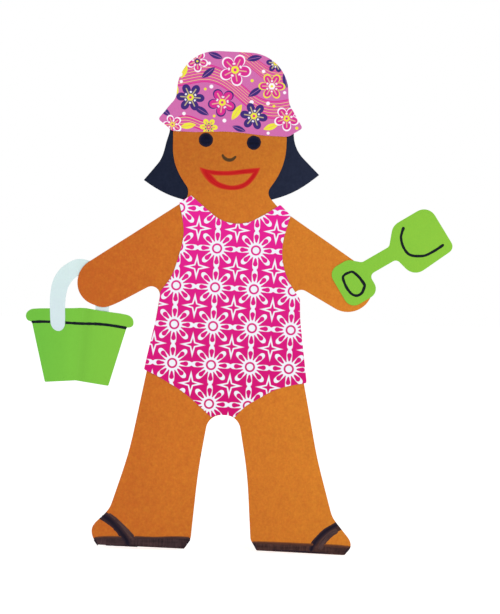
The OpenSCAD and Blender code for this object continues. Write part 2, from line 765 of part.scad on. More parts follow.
module nose() {
    color([0.33, 0.23, 0.13]) stand() sheet(face_d, ink_t) translate([0, neck_h + nose_rise])
        polygon(stroke(bow([-nose_w / 2, 0], [nose_w / 2, 0], -nose_sag), nose_pen));
}

// Crescent between two arcs that hang from the same corners
module crescent(w, top_sag, low_sag) {
    upper = bow([-w / 2, 0], [w / 2, 0], -top_sag);
    lower = bow([w / 2, 0], [-w / 2, 0], low_sag);
    polygon([for (p = concat(upper, [for (i = [1 : len(lower) - 2]) lower[i]])) flat(p)]);
}

module smile() {
    color([0.74, 0.14, 0.13]) stand() sheet(face_d, ink_t) translate([0, neck_h + smile_rise]) difference() {
        crescent(smile_w, lip_sag, smile_sag);
        translate([0, -mouth_drop]) crescent(mouth_w, lip_sag / 2, mouth_sag);
    }
}

// Sole band and strap of one foot, inked up to the cut edge of the card
module sandal(side) {
    skew = side * foot_skew;
    over = [side * (ankle_x + strap_out), ankle_h - skew - strap_drop];
    foot = [side * (ankle_x - strap_run) + strap_skew, strap_foot];
    heel = sole_band - side * band_skew;
    toe = toe_band - skew + side * band_skew;
    intersection() {
        polygon(figure_outline);
        union() {
            polygon([[0, heel], [side * heel_x, heel], [side * sole_x, toe],
                     [side * clear_l, toe], [side * clear_l, -clear_l], [0, -clear_l]]);
            polygon(stroke(bow(over + unit(over - foot) * strap_w / 2, foot, -side * strap_sag), strap_w));
        }
    }
}

module left_sandal() {
    color([0.23, 0.18, 0.19]) stand() sheet(card_t, ink_t) sandal(-1);
}

module right_sandal() {
    color([0.23, 0.18, 0.19]) stand() sheet(card_t, ink_t) sandal(1);
}

module bucket_rim_line() {
    color([0.08, 0.1, 0.15]) stand() at_bucket() intersection() {
        cut() intersection() {
            polygon(bucket_outline);
            difference() {
                polygon(stroke(rim_line_path, pen_w));
                translate([-arch_r - strip_w / 2 - line_gap, 0]) square([strip_w + 2 * line_gap, arch_h]);
            }
        }
        bend_across(fold_line(green_t), ink_t, -clear_l / 2);
    }
}

module spade_grip_line() {
    color([0.08, 0.1, 0.15]) stand() at_spade() sheet(spade_d + green_t, ink_t)
        translate([oval_x, oval_y]) difference() {
            polygon(oval(oval_a + pen_w / 2, oval_b + pen_w / 2));
            polygon(oval(oval_a - pen_w / 2, oval_b - pen_w / 2));
        }
}

module spade_scoop_line() {
    color([0.08, 0.1, 0.15]) stand() at_spade() sheet(spade_d + green_t, ink_t)
        polygon(stroke(scoop_path, pen_w));
}

figure();
hair();
hat();
swimsuit();
bucket();
bucket_handle();
spade();
hat_dots();
swimsuit_dots();
spade_dot();
handle_dot();
eyes();
nose();
smile();
left_sandal();
right_sandal();
bucket_rim_line();
spade_grip_line();
spade_scoop_line();
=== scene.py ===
import math

import bmesh
import bpy
from mathutils import Matrix, Vector, noise
from mathutils.bvhtree import BVHTree


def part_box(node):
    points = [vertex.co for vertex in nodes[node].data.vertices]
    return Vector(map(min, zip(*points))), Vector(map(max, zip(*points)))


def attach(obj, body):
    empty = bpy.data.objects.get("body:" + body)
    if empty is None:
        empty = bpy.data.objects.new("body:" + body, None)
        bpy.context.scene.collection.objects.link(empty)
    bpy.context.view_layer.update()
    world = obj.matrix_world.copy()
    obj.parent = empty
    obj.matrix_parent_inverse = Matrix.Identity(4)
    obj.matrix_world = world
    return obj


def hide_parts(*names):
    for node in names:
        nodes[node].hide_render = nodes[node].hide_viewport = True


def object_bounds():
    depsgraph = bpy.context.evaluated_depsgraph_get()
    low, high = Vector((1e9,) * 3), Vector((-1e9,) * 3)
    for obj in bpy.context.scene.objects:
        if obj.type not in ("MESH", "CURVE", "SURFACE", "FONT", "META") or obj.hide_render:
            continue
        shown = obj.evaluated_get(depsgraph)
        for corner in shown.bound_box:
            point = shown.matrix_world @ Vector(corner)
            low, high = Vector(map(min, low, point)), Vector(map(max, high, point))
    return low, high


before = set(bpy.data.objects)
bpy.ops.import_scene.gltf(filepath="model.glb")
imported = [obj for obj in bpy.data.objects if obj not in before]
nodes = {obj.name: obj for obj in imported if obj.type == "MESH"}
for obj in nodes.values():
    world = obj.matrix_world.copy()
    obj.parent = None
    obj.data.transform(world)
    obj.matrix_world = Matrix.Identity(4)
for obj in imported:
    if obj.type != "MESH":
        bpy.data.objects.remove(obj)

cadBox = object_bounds()
mm = 0.001


def tone(red, green, blue):  # a screen colour as the shader's linear one
    lin = [c / 255 / 12.92 if c < 11 else ((c / 255 + 0.055) / 1.055) ** 2.4 for c in (red, green, blue)]
    return (*lin, 1.0)


def clamp(value, low=0.0, high=1.0):
    return max(low, min(high, value))


def ease(value):  # soft step from 0 to 1
    t = clamp(value)
    return t * t * (3 - 2 * t)


# studio: camera square to the doll, a large soft lamp from the right, white all round
studio = {
    "aim": (13.9, 24.0),  # mm right and up, the middle of the picture
    "tall": 356.0,  # mm of the doll's plane from the picture's foot to its head
    "lens": 100.0,
    "sensor": 36.0,
    "roll": 1.35,  # degrees, so the doll leans clockwise
    "ambient": 0.56,
    "lampPlace": (1.5, -2.6, 1.7),
    "lampSize": 1.6,
    "lampPower": 31.0,
    "floorSize": 30.0,
    "floorGap": 0.05,  # mm under the lowest sole
    "floorTones": (tone(240, 240, 240), tone(246, 246, 246)),
    "floorCloud": 6.0,  # per metre
    "floorDepth": 0.05,  # mm of bump
    "floorRough": 0.9,
    "floorGlow": 0.6,  # lifts it a little so that it joins the white behind
}


def makeStudio(s):
    scene = bpy.context.scene
    scene.view_settings.view_transform = "Standard"
    camera = bpy.data.objects.new("camera", bpy.data.cameras.new("camera"))
    camera.data.lens = s["lens"]
    camera.data.sensor_width = s["sensor"]
    away = s["tall"] * mm * s["lens"] / camera.data.sensor_width
    aim = Vector((s["aim"][0] * mm, 0, s["aim"][1] * mm))
    turn = Matrix.Rotation(math.radians(90), 4, "X") @ Matrix.Rotation(math.radians(s["roll"]), 4, "Z")
    camera.matrix_world = Matrix.Translation(aim - Vector((0, away, 0))) @ turn
    scene.collection.objects.link(camera)
    scene.camera = camera

    lamp = bpy.data.objects.new("lamp", bpy.data.lights.new("lamp", "AREA"))
    lamp.data.energy = s["lampPower"]
    lamp.data.size = s["lampSize"]
    lamp.location = s["lampPlace"]
    lamp.rotation_euler = (aim - lamp.location).to_track_quat("-Z", "Y").to_euler()
    scene.collection.objects.link(lamp)

    world = bpy.data.worlds.new("studio")
    world.use_nodes = True
    sky = Wire(world.node_tree)
    world.node_tree.nodes.clear()
    seen = sky.node("ShaderNodeLightPath")
    strength = s["ambient"] + seen * (1 - s["ambient"])
    light = sky.node("ShaderNodeBackground", {}, {"Color": (1, 1, 1, 1), "Strength": strength})
    sky.node("ShaderNodeOutputWorld", {}, {"Surface": light})
    scene.world = world

    mesh = bpy.data.meshes.new("floor")
    bm = bmesh.new()
    bmesh.ops.create_grid(bm, x_segments=2, y_segments=2, size=s["floorSize"] / 2)
    low = cadBox[0].z - s["floorGap"] * mm
    bmesh.ops.translate(bm, verts=bm.verts, vec=(0, 0, low))
    bm.to_mesh(mesh)
    bm.free()
    floor = bpy.data.objects.new("floor", mesh)
    scene.collection.objects.link(floor)
    mesh.materials.append(floorFinish(s))
    print("studio made")


class Wire:
    # a socket in a node tree, so that shader sums read as sums
    def __init__(self, tree, socket=None):
        self.tree = tree
        self.socket = socket

    def node(self, kind, settings={}, inputs={}, out=0):
        made = self.tree.nodes.new(kind)
        for key, value in settings.items():
            if key == "stops":
                ramp = made.color_ramp.elements
                while len(ramp) < len(value):
                    ramp.new(1.0)
                for element, (place, height) in zip(ramp, value):
                    element.position = place
                    element.color = (height, height, height, 1)
            else:
                setattr(made, key, value)
        for key, value in (inputs.items() if isinstance(inputs, dict) else enumerate(inputs)):
            if isinstance(value, Wire):
                self.tree.links.new(value.socket, made.inputs[key])
            else:
                made.inputs[key].default_value = value
        return Wire(self.tree, made.outputs[out] if made.outputs else None)

    def sum(self, operation, *values, held=False):
        return self.node("ShaderNodeMath", {"operation": operation, "use_clamp": held}, values)

    def __add__(self, other):
        return self.sum("ADD", self, other)

    def __radd__(self, other):
        return self.sum("ADD", other, self)

    def __sub__(self, other):
        return self.sum("SUBTRACT", self, other)

    def __rsub__(self, other):
        return self.sum("SUBTRACT", other, self)

    def __mul__(self, other):
        return self.sum("MULTIPLY", self, other)

    def __rmul__(self, other):
        return self.sum("MULTIPLY", other, self)

    def __truediv__(self, other):
        return self.sum("DIVIDE", self, other)

    def __abs__(self):
        return self.sum("ABSOLUTE", self)

    def least(self, other):
        return self.sum("MINIMUM", self, other)

    def most(self, other):
        return self.sum("MAXIMUM", self, other)

    def inside(self, soft):  # 1 where the value is above zero, with an edge that is soft wide
        return self.sum("MULTIPLY_ADD", self, 1 / soft, 0.5, held=True)

    def between(self, low, high):  # 0 at low, 1 at high
        return self.sum("MULTIPLY_ADD", self, 1 / (high - low), -low / (high - low), held=True)

    def over(self, colour, paint):  # this mask lays paint over a colour
        return self.node("ShaderNodeMix", {"data_type": "RGBA"}, {0: self, 6: colour, 7: paint}, 2)

    def noise(self, where, scale, detail=2.0, rough=0.5):
        inputs = {"Vector": where, "Scale": scale, "Detail": detail, "Roughness": rough}
        return self.node("ShaderNodeTexNoise", {}, inputs)

    def spread(self, where, sides):  # the place, stretched by a factor on each side
        return self.node("ShaderNodeVectorMath", {"operation": "MULTIPLY"}, {0: where, 1: sides})

    def sides(self, where):
        parts = self.node("ShaderNodeSeparateXYZ", {}, {0: where})
        return [Wire(self.tree, parts.socket.node.outputs[i]) for i in range(3)]

    def shade(self, colour, value):  # lighter or darker by a factor
        return self.node("ShaderNodeHueSaturation", {}, {"Value": value, "Color": colour})


def newFinish(name):
    material = bpy.data.materials.new(name)
    material.use_nodes = True
    material.node_tree.nodes.clear()
    start = Wire(material.node_tree)
    where = start.node("ShaderNodeTexCoord", {}, {}, "Object")
    return material, start, where


bumpStrength = 0.5


def closeFinish(start, colour, rough, height, depth, gloss=0.12, glow=0.0):
    bump = start.node("ShaderNodeBump", {}, {
        "Strength": bumpStrength, "Distance": depth * mm, "Height": height})
    shader = start.node("ShaderNodeBsdfPrincipled", {}, {
        "Base Color": colour, "Roughness": rough, "Normal": bump, "Specular IOR Level": gloss,
        "Emission Color": (1, 1, 1, 1), "Emission Strength": glow})
    start.node("ShaderNodeOutputMaterial", {}, {"Surface": shader})


def floorFinish(s):
    material, start, where = newFinish("floorWhite")
    cloud = start.noise(where, s["floorCloud"])
    colour = cloud.over(*s["floorTones"])
    closeFinish(start, colour, s["floorRough"], cloud, s["floorDepth"], 0.0, s["floorGlow"])
    return material


# paper: pulp grain, flecks, cloudy dye and lying fibres shared by every sheet
paper = {
    "grainScale": 950.0,  # per metre
    "fleckScale": 360.0,
    "cloudScale": 26.0,
    "fibreScale": (1500.0, 1500.0, 260.0),
    "bumpDepth": 0.06,  # mm
    "bumpGrain": 0.6,  # shares of the grain and the fibres in the bump
    "bumpFibre": 0.4,
    "rough": 0.84,
    "roughCloud": 0.12,
    "toneFibre": 0.6,  # fibres and flecks in the tone, as shares of the grain's
    "toneFleck": 0.7,
    # uneven dye: scale per metre, detail, and share of the way from one tone to the other
    "uneven": [(9.0, 1.0, 0.3), (216.0, 2.0, 0.5), (760.0, 2.0, 0.9)],
}


def grainAt(start, where):
    return start.noise(where, paper["grainScale"], 3.0, 0.6)


def fleckAt(start, where):
    return start.noise(where, paper["fleckScale"], 2.0, 0.55)


def closePaper(start, where, colour, grainShare, cloudShare):
    grain, fleck = grainAt(start, where), fleckAt(start, where)
    cloud = start.noise(where, paper["cloudScale"], 3.0, 0.55)
    fibre = start.noise(start.spread(where, paper["fibreScale"]), 1.0, 2.0)
    fine = (grain - 0.5) * grainShare + (fibre - 0.5) * (grainShare * paper["toneFibre"])
    value = 1 + fine + (fleck - 0.5) * (grainShare * paper["toneFleck"]) + (cloud - 0.5) * cloudShare
    rough = paper["rough"] + (cloud - 0.5) * paper["roughCloud"]
    height = grain * paper["bumpGrain"] + fibre * paper["bumpFibre"]
    closeFinish(start, start.shade(colour, value), rough, height, paper["bumpDepth"])


def dyedAndShadedPaper(
    name, begin, end=None, grainShare=0.12, cloudShare=0.12, reach=(-95, 95), upright=False, paintedShade=()
):
    # coloured sheet in its dye's tone; across the doll the tone goes from darker to lighter as painted light
    # from the right, and up it (upright) from one tint to another
    material, start, where = newFinish(name)
    across, _, up = start.sides(where)
    low, high = reach[0] * mm, reach[1] * mm
    uneven = sum(
        (start.noise(where, scale, detail) - 0.5) * share for scale, detail, share in paper["uneven"]
    )
    # across the doll this mix is painted light from the right: darker on the left, lighter on the right
    side = ((up if upright else across) + uneven * (high - low)).between(low, high)
    colour = side.over(begin, end or begin)
    # painted shade: the colour made darker between two heights, by a share
    for near, far, share in paintedShade:
        colour = start.shade(colour, 1 - up.between(near * mm, far * mm) * share)
    closePaper(start, where, colour, grainShare, cloudShare)
    return material


# how far the paper stands forward of its flat place, mm: a slow ripple and a few soft bends,
# shared by all pieces
curl = {
    "waves": [(20, 150, 0.4), (75, 118, 1.9), (131, 92, 4.0)],  # degrees, mm long, phase
    "waveHeight": 0.22,
    # place, reach, height
    "bends": [(-80, -114, 60, 0.8), (82, -116, 60, 0.7), (120, 64, 70, 0.9), (-96, 0, 60, 0.4)],
}


def nearness(x, z, midX, midZ, reach):  # 1 at a place, 0 beyond its reach
    return ease(1 - math.hypot(x - midX, z - midZ) / reach)


def bendAt(bends, x, z):
    return sum(height * nearness(x, z, midX, midZ, reach) for midX, midZ, reach, height in bends)


def forwardAt(lifts, x, z):
    x, z = x / mm, z / mm
    total = bendAt(curl["bends"], x, z) + bendAt(lifts, x, z)
    for angle, length, phase in curl["waves"]:
        way = x * math.cos(math.radians(angle)) + z * math.sin(math.radians(angle))
        total += math.sin(2 * math.pi * way / length + phase) * curl["waveHeight"] / len(curl["waves"])
    return total * mm


# how a sheet's front is taken off its solid
grid = {
    "weld": 0.001,  # mm
    "facing": 0.9,  # how squarely a face of the front looks forward
    "flat": 0.004,  # radians
    "snap": 0.05,  # mm
    "sliver": 0.04,  # mm
    "sharp": 2.5,  # degrees, edges that stay sharp in shading
}


def sheetFront(node, pitch):
    # the front of a node's sheet as one clean grid
    bm = bmesh.new()
    bm.from_mesh(nodes[node].data)
    bmesh.ops.remove_doubles(bm, verts=bm.verts, dist=grid["weld"] * mm)
    bm.normal_update()
    other = [f for f in bm.faces if f.normal.y > -grid["facing"]]
    bmesh.ops.delete(bm, geom=other, context="FACES")
    bmesh.ops.dissolve_limit(bm, angle_limit=grid["flat"], verts=bm.verts, edges=bm.edges)
    for axis in (0, 2):
        low = min(v.co[axis] for v in bm.verts)
        high = max(v.co[axis] for v in bm.verts)
        way = Vector((1, 0, 0)) if axis == 0 else Vector((0, 0, 1))
        count = math.ceil((high - low) / (pitch * mm))
        for k in range(1, count):
            place = way * (low + (high - low) * k / count)
            parts = bm.verts[:] + bm.edges[:] + bm.faces[:]
            bmesh.ops.bisect_plane(bm, geom=parts, dist=grid["snap"] * mm, plane_co=place, plane_no=way)
    bmesh.ops.remove_doubles(bm, verts=bm.verts, dist=grid["sliver"] * mm)
    return bm


def addThickness(bm, thickness):
    # front, cut edge and back take the first, second and third finish
    front = bm.faces[:]
    made = bmesh.ops.extrude_face_region(bm, geom=front, use_keep_orig=True)["geom"]
    backFaces = {g for g in made if isinstance(g, bmesh.types.BMFace)}
    backVerts = [g for g in made if isinstance(g, bmesh.types.BMVert)]
    bmesh.ops.translate(bm, verts=backVerts, vec=(0, thickness * mm, 0))
    known = set(front) | backFaces
    for face in bm.faces:
        face.material_index = 2 if face in backFaces else 0 if face in known else 1
    bmesh.ops.recalc_face_normals(bm, faces=bm.faces)


def finishPiece(name, bm, finishes, body, node):
    mesh = bpy.data.meshes.new(name)
    for face in bm.faces:
        face.smooth = True
    bm.to_mesh(mesh)
    bm.free()
    mesh.set_sharp_from_angle(angle=math.radians(grid["sharp"]))
    for finish in finishes:
        mesh.materials.append(finish)
    piece = bpy.data.objects.new(name, mesh)
    bpy.context.scene.collection.objects.link(piece)
    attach(piece, body)
    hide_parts(node)
    print(name, len(mesh.polygons), "faces")


def trimAlong(bm, trims):
    # where the scissors strayed: a soft pull of the outline to the right and up around a place, mm
    for v in bm.verts:
        pulls = [
            Vector((right, 0, rise)) * nearness(v.co.x / mm, v.co.z / mm, midX, midZ, reach)
            for midX, midZ, reach, right, rise in trims
        ]
        v.co += sum(pulls, Vector()) * mm


def paperSheet(s, finishes):
    # a cut sheet: gridded front, edges pressed down by the scissors, thickness behind
    bm = sheetFront(s["node"], s["pitch"])
    trimAlong(bm, s.get("trims", []))
    edge = s["edge"] * mm
    pressed = s["edge"] * s["press"]
    bmesh.ops.inset_region(bm, faces=bm.faces, thickness=edge, use_boundary=True, use_even_offset=True)
    for v in bm.verts:
        v.co.y -= forwardAt(s["lifts"], v.co.x, v.co.z)
        if v.is_boundary:
            v.co.y += pressed * mm
    addThickness(bm, s["thickness"] - pressed)
    finishPiece(s["name"], bm, finishes, s["body"], s["node"])


makeStudio(studio)

figureSheet = {
    "name": "figureCard", "node": "figure", "body": "figure", "slot": "figure_card",
    "pitch": 5.0, "thickness": 0.4, "edge": 0.12, "press": 0.5, "lifts": [],
    # hand with the bucket, cheeks, neck, legs, left toe above and below, right toe
    "trims": [
        (-80.1, 25.2, 9, 0.25, 0.25), (-76, 22.5, 7, 0.1, 0.6), (-67, 22.5, 8, 0, 0.35),
        (31, 106, 60, -0.65, 0), (-34, 120, 16, 0.5, 0), (-25.8, 85.8, 6, 0.8, -0.5),
        (54, -52, 50, 0.4, 0), (-15, -77, 38, 0.4, 0),
        (-71.6, -103.4, 8, -0.7, 0.45), (-74, -112.1, 7, 0.5, 0), (74.6, -114.2, 7, 0.8, 0),
    ],
    "dyeAndShade": {
        # begin and end: the orange painted darker on the left and lighter on the right, painted light from
        # the right
        "begin": tone(188, 95, 33), "end": tone(209, 127, 40), "grainShare": 0.22, "cloudShare": 0.14,
        "paintedShade": [(70, 112, 0.13), (-72, -108, 0.05)],  # painted shade over the head and the feet: mm up from and to, by how much darker
    },
    "cut": tone(214, 138, 66),
}
figureFinish = dyedAndShadedPaper("orangeCard", **figureSheet["dyeAndShade"])
figureCut = dyedAndShadedPaper("orangeCardCut", figureSheet["cut"])
paperSheet(figureSheet, [figureFinish, figureCut, figureFinish])

hairSheet = {
    "name": "hairBob", "node": "hair", "body": "figure", "slot": "hair_paper",
    "pitch": 5.0, "thickness": 0.3, "edge": 0.1, "press": 0.5,
    "lifts": [(-50, 98, 24, 0.7), (53, 103, 24, 0.8)],
    # left side under the hat and below that, and the lower edge on both sides
    "trims": [
        (-36.4, 126, 9, 1.7, 0), (-38, 114.5, 10, -0.7, 0), (-36, 90, 20, 0, -0.7), (38, 92, 20, 0, -0.7),
    ],
    "dyeAndShade": {
        # begin and end: navy painted darker on the left and lighter on the right, painted light from the
        # right
        "begin": tone(18, 25, 45), "end": tone(31, 37, 57), "grainShare": 0.3, "cloudShare": 0.3,
        "reach": (-60, 60),
    },
    "cut": tone(48, 56, 78),
}
hairFinish = dyedAndShadedPaper("navyPaper", **hairSheet["dyeAndShade"])
hairCut = dyedAndShadedPaper("navyPaperCut", hairSheet["cut"])
paperSheet(hairSheet, [hairFinish, hairCut, hairFinish])

greenTone = tone(170, 212, 120)
greenCut = dyedAndShadedPaper("greenPaperCut", greenTone)

bucketSheet = {
    "name": "bucketFolded", "node": "bucket", "body": "bucket", "slot": "bucket_paper",
    "pitch": 4.0, "thickness": 0.25, "edge": 0.08, "press": 0.5, "lifts": [],
    # rim: left end, beside the crease, right end above and below
    "trims": [
        (-114.2, 19.6, 4.5, 0.35, -0.45), (-80, 20.5, 7, 0, 0.45),
        (-54.9, 17, 5, -0.2, -0.55), (-54.3, 11.6, 4.5, 0.35, -0.2),
    ],
    "left": tone(110, 186, 63), "right": tone(126, 192, 62), "paintedLightReach": 25,  # left half painted darker and right half lighter, as light from the right falls across the fold: mm either side of the crease
    "grainShare": 0.06, "cloudShare": 0.06,
    "fold": ((-82.5, 20.9), (-85.4, -20.7)),  # mm, head and foot of the crease
    "crack": 0.2, "crackSoft": 0.3,  # mm
    "crackScale": 900.0, "crackRange": (0.35, 0.65), "crackShare": 0.08,
    "foldShadeAndLightBands": [(3.0, 4.0, 0.06), (-5.0, 5.0, -0.03)],  # painted shade just right of the crease and a painted lighter band left of it: mm right of the crease, reach, how much darker
}


def foldedFinish(s):
    # green paper: left half darker and right half lighter as painted light across the fold, painted shade
    # just right of its crease and a painted lighter band just left of it, and cracked pale along it
    material, start, where = newFinish("greenPaperFolded")
    across, _, up = start.sides(where)
    (headX, headZ), (footX, footZ) = s["fold"]
    off = across / mm - footX - (up / mm - footZ) * ((headX - footX) / (headZ - footZ))
    colour = off.between(-s["paintedLightReach"], s["paintedLightReach"]).over(s["left"], s["right"])
    # painted shade and painted light in bands beside the crease
    for place, reach, darker in s["foldShadeAndLightBands"]:
        colour = start.shade(colour, 1 - (1 - abs(off - place) / reach).most(0.0) * darker)
    broken = start.noise(where, s["crackScale"]).between(*s["crackRange"])
    crack = (s["crack"] - abs(off)).inside(s["crackSoft"]) * broken * s["crackShare"]
    closePaper(start, where, crack.over(colour, greenTone), s["grainShare"], s["cloudShare"])
    return material


bucketFinish = foldedFinish(bucketSheet)
paperSheet(bucketSheet, [bucketFinish, greenCut, bucketFinish])

spadeSheet = {
    "name": "spadeCut", "node": "spade", "body": "spade", "slot": "spade_paper",
    "pitch": 4.0, "thickness": 0.25, "edge": 0.08, "press": 0.5,
    "lifts": [(128, 66, 34, 0.6)],
    "trims": [(113.3, 65.2, 60, -0.15, -0.45)],  # the blade sits a little low
    "dyeAndShade": {
        # begin and end: green painted darker on the left and lighter on the right, painted light from the
        # right
        "begin": tone(128, 191, 60), "end": tone(137, 194, 60), "grainShare": 0.06, "cloudShare": 0.06,
        "reach": (60, 130),
    },
}
spadeFinish = dyedAndShadedPaper("greenPaper", **spadeSheet["dyeAndShade"])
paperSheet(spadeSheet, [spadeFinish, greenCut, spadeFinish])

handleSheet = {
    "name": "handleStrip", "node": "bucket_handle", "body": "bucket", "slot": "strip_paper",
    "pitch": 3.0, "thickness": 0.25, "edge": 0.08, "press": 0.5, "lifts": [],
    # inside of the bend, its top, the left leg's outside, middle and foot, and the right leg's two sides
    "trims": [
        (-90.6, 36.6, 9, 0.75, -0.75), (-85.9, 49.8, 8, -0.4, 0.6), (-101.7, 30, 12, -0.5, 0),
        (-96.5, 24, 12, -0.8, 0), (-100.5, 8, 9, 0.9, 0),
        (-76.3, 20.8, 7, 0.65, 0), (-67.4, 20.1, 7, -0.5, 0),
    ],
    "dyeAndShade": {
        "begin": tone(207, 221, 229), "end": tone(209, 229, 228), "grainShare": 0.05, "cloudShare": 0.04,
        "reach": (-10, 45), "upright": True,
    },
    # cut edge painted darker grey-green: painted shade along the strip's edge, tinted green
    "cut": tone(180, 200, 186),
}
handleFinish = dyedAndShadedPaper("palePaper", **handleSheet["dyeAndShade"])
handleShadedCut = dyedAndShadedPaper("palePaperShadedCut", handleSheet["cut"])
paperSheet(handleSheet, [handleFinish, handleShadedCut, handleFinish])

# printed sheets: a print on white paper
printed = {
    "white": tone(238, 240, 238),
    "grainShare": 0.06, "cloudShare": 0.06, "backCloud": 0.05, "cutShare": 0.05,
    "stainScale": 60.0,  # per metre, and how much the print behind comes and goes
    "stainDrift": 0.06,
}
whiteCut = dyedAndShadedPaper(
    "whitePaperCut", printed["white"], grainShare=printed["cutShare"], cloudShare=printed["cutShare"]
)


def printedPaper(name, colourOf, s):
    # printed side, white cut edge, and the bare back with the print showing faintly through
    group = bpy.data.node_groups.new(name + "Colours", "ShaderNodeTree")
    group.interface.new_socket("Color", in_out="OUTPUT", socket_type="NodeSocketColor")
    start = Wire(group)
    where = start.node("ShaderNodeTexCoord", {}, {}, "Object")
    start.node("NodeGroupOutput", {}, {"Color": colourOf(start, where, s)})
    front, start, where = newFinish(name)
    colour = start.node("ShaderNodeGroup", {"node_tree": group})
    closePaper(start, where, colour, printed["grainShare"], printed["cloudShare"])
    back, start, where = newFinish(name + "Back")
    stain = s["through"] + (start.noise(where, printed["stainScale"]) - 0.5) * printed["stainDrift"]
    colour = stain.over(printed["white"], start.node("ShaderNodeGroup", {"node_tree": group}))
    closePaper(start, where, colour, printed["grainShare"], printed["backCloud"])
    return [front, whiteCut, back]


suitSheet = {
    "name": "swimsuitPrinted", "node": "swimsuit", "body": "swimsuit", "slot": "suit_print",
    "pitch": 5.0, "thickness": 0.25, "edge": 0.08, "press": 0.5,
    "lifts": [(-46, -12, 20, 0.35), (50, -18, 20, 0.4), (-28, 84, 16, 0.25), (36, 80, 16, 0.25)],
    # left armhole, right leg opening, left hip and both straps
    "trims": [
        (-28, 52.5, 20, -2.1, 0), (12, -36, 12, 0, 1.5), (28, -27, 24, 0, 1.35), (-46, -13, 8, 0, -0.7),
        (-27.2, 84.3, 7, -0.45, 0.45), (30, 83.1, 8, -0.25, 0.6),
    ],
    "repeat": 22.54,  # mm from rosette to rosette
    "rosette": (-6.6, 34.93),  # mm, middle of one rosette
    "turn": 1.63,  # degrees clockwise
    "unit": 38.9,  # the drawing's steps in one repeat
    "soft": 0.45,  # steps
    "top": tone(224, 32, 144), "foot": tone(200, 7, 104), "white": tone(234, 237, 245),
    "reach": (-45, 80),
    "through": 0.09,
    # half width of each petal and of its core along the way out from the rosette's middle, in steps
    "petal": [
        (7.0, 2.6), (8.5, 2.85), (11.0, 2.95), (13.0, 3.1), (16.0, 3.05), (17.2, 2.9),
        (18.0, 2.6), (18.6, 2.15), (19.1, 1.6), (19.5, 0.8), (19.7, 0.0),
    ],
    "core": [
        (7.4, 0.0), (8.0, 0.9), (9.0, 1.4), (10.0, 1.65), (11.0, 1.85), (12.2, 2.3),
        (13.2, 2.55), (14.2, 2.55), (15.0, 2.2), (15.7, 1.5), (16.2, 0.0),
    ],
    "waist": 1.7, "waistFrom": 18.6,  # half width where two petals meet, and where that begins
    "disc": 3.3, "ring": 5.15, "hub": 7.4,
    "star": (3.2, 0.25), "starCore": (1.95, 0.3),  # half width at the middle and loss per step outwards
}


def profile(start, way, stops, unit):
    # half width along the way, read off a ramp
    tallest = max(h for _, h in stops)
    places = [(0.0, stops[0][1] / tallest)] + [(p / unit, h / tallest) for p, h in stops]
    return start.node("ShaderNodeValToRGB", {"stops": places}, {0: way}) * tallest


def suitColour(start, where, s):
    across, _, up = start.sides(where)
    turn = math.radians(s["turn"])
    size = s["repeat"] * mm
    right = across - s["rosette"][0] * mm
    high = up - s["rosette"][1] * mm
    u = right * (math.cos(turn) / size) - high * (math.sin(turn) / size)
    v = right * (math.sin(turn) / size) + high * (math.cos(turn) / size)
    a = abs(u - start.sum("ROUND", u))
    b = abs(v - start.sum("ROUND", v))
    unit, soft = s["unit"], s["soft"]
    steps = start.sum("SQRT", a * a + b * b) * unit

    def band(stops, along, aside):
        return (profile(start, along, stops, unit) - aside * unit - soft / 2).inside(soft)

    sideWay, sideOff = a.most(b), a.least(b)
    cornerWay, cornerOff = (a + b) * math.sqrt(0.5), abs(a - b) * math.sqrt(0.5)
    waist = (s["waist"] - sideOff * unit).inside(soft) * (sideWay * unit - s["waistFrom"]).inside(soft)

    def bothWays(stops):
        return band(stops, cornerWay, cornerOff).most(band(stops, sideWay, sideOff))

    petals = bothWays(s["petal"]).most(waist) * (1 - bothWays(s["core"]))

    def star(middle, loss):
        far, near = (0.5 - a).most(0.5 - b), (0.5 - a).least(0.5 - b)
        return (middle - far * (unit * loss) - near * unit).inside(soft)

    stars = star(*s["star"]) * (1 - star(*s["starCore"]))
    hub = (s["hub"] - steps).inside(soft) * (1 - (s["ring"] - steps).inside(soft))
    disc = (s["disc"] - steps).inside(soft)
    petals = petals * (steps - s["ring"]).inside(soft)
    white = petals.most(stars).most(hub).most(disc)
    ground = up.between(s["reach"][0] * mm, s["reach"][1] * mm).over(s["foot"], s["top"])
    return white.over(ground, s["white"])


paperSheet(suitSheet, printedPaper("rosettePrint", suitColour, suitSheet))

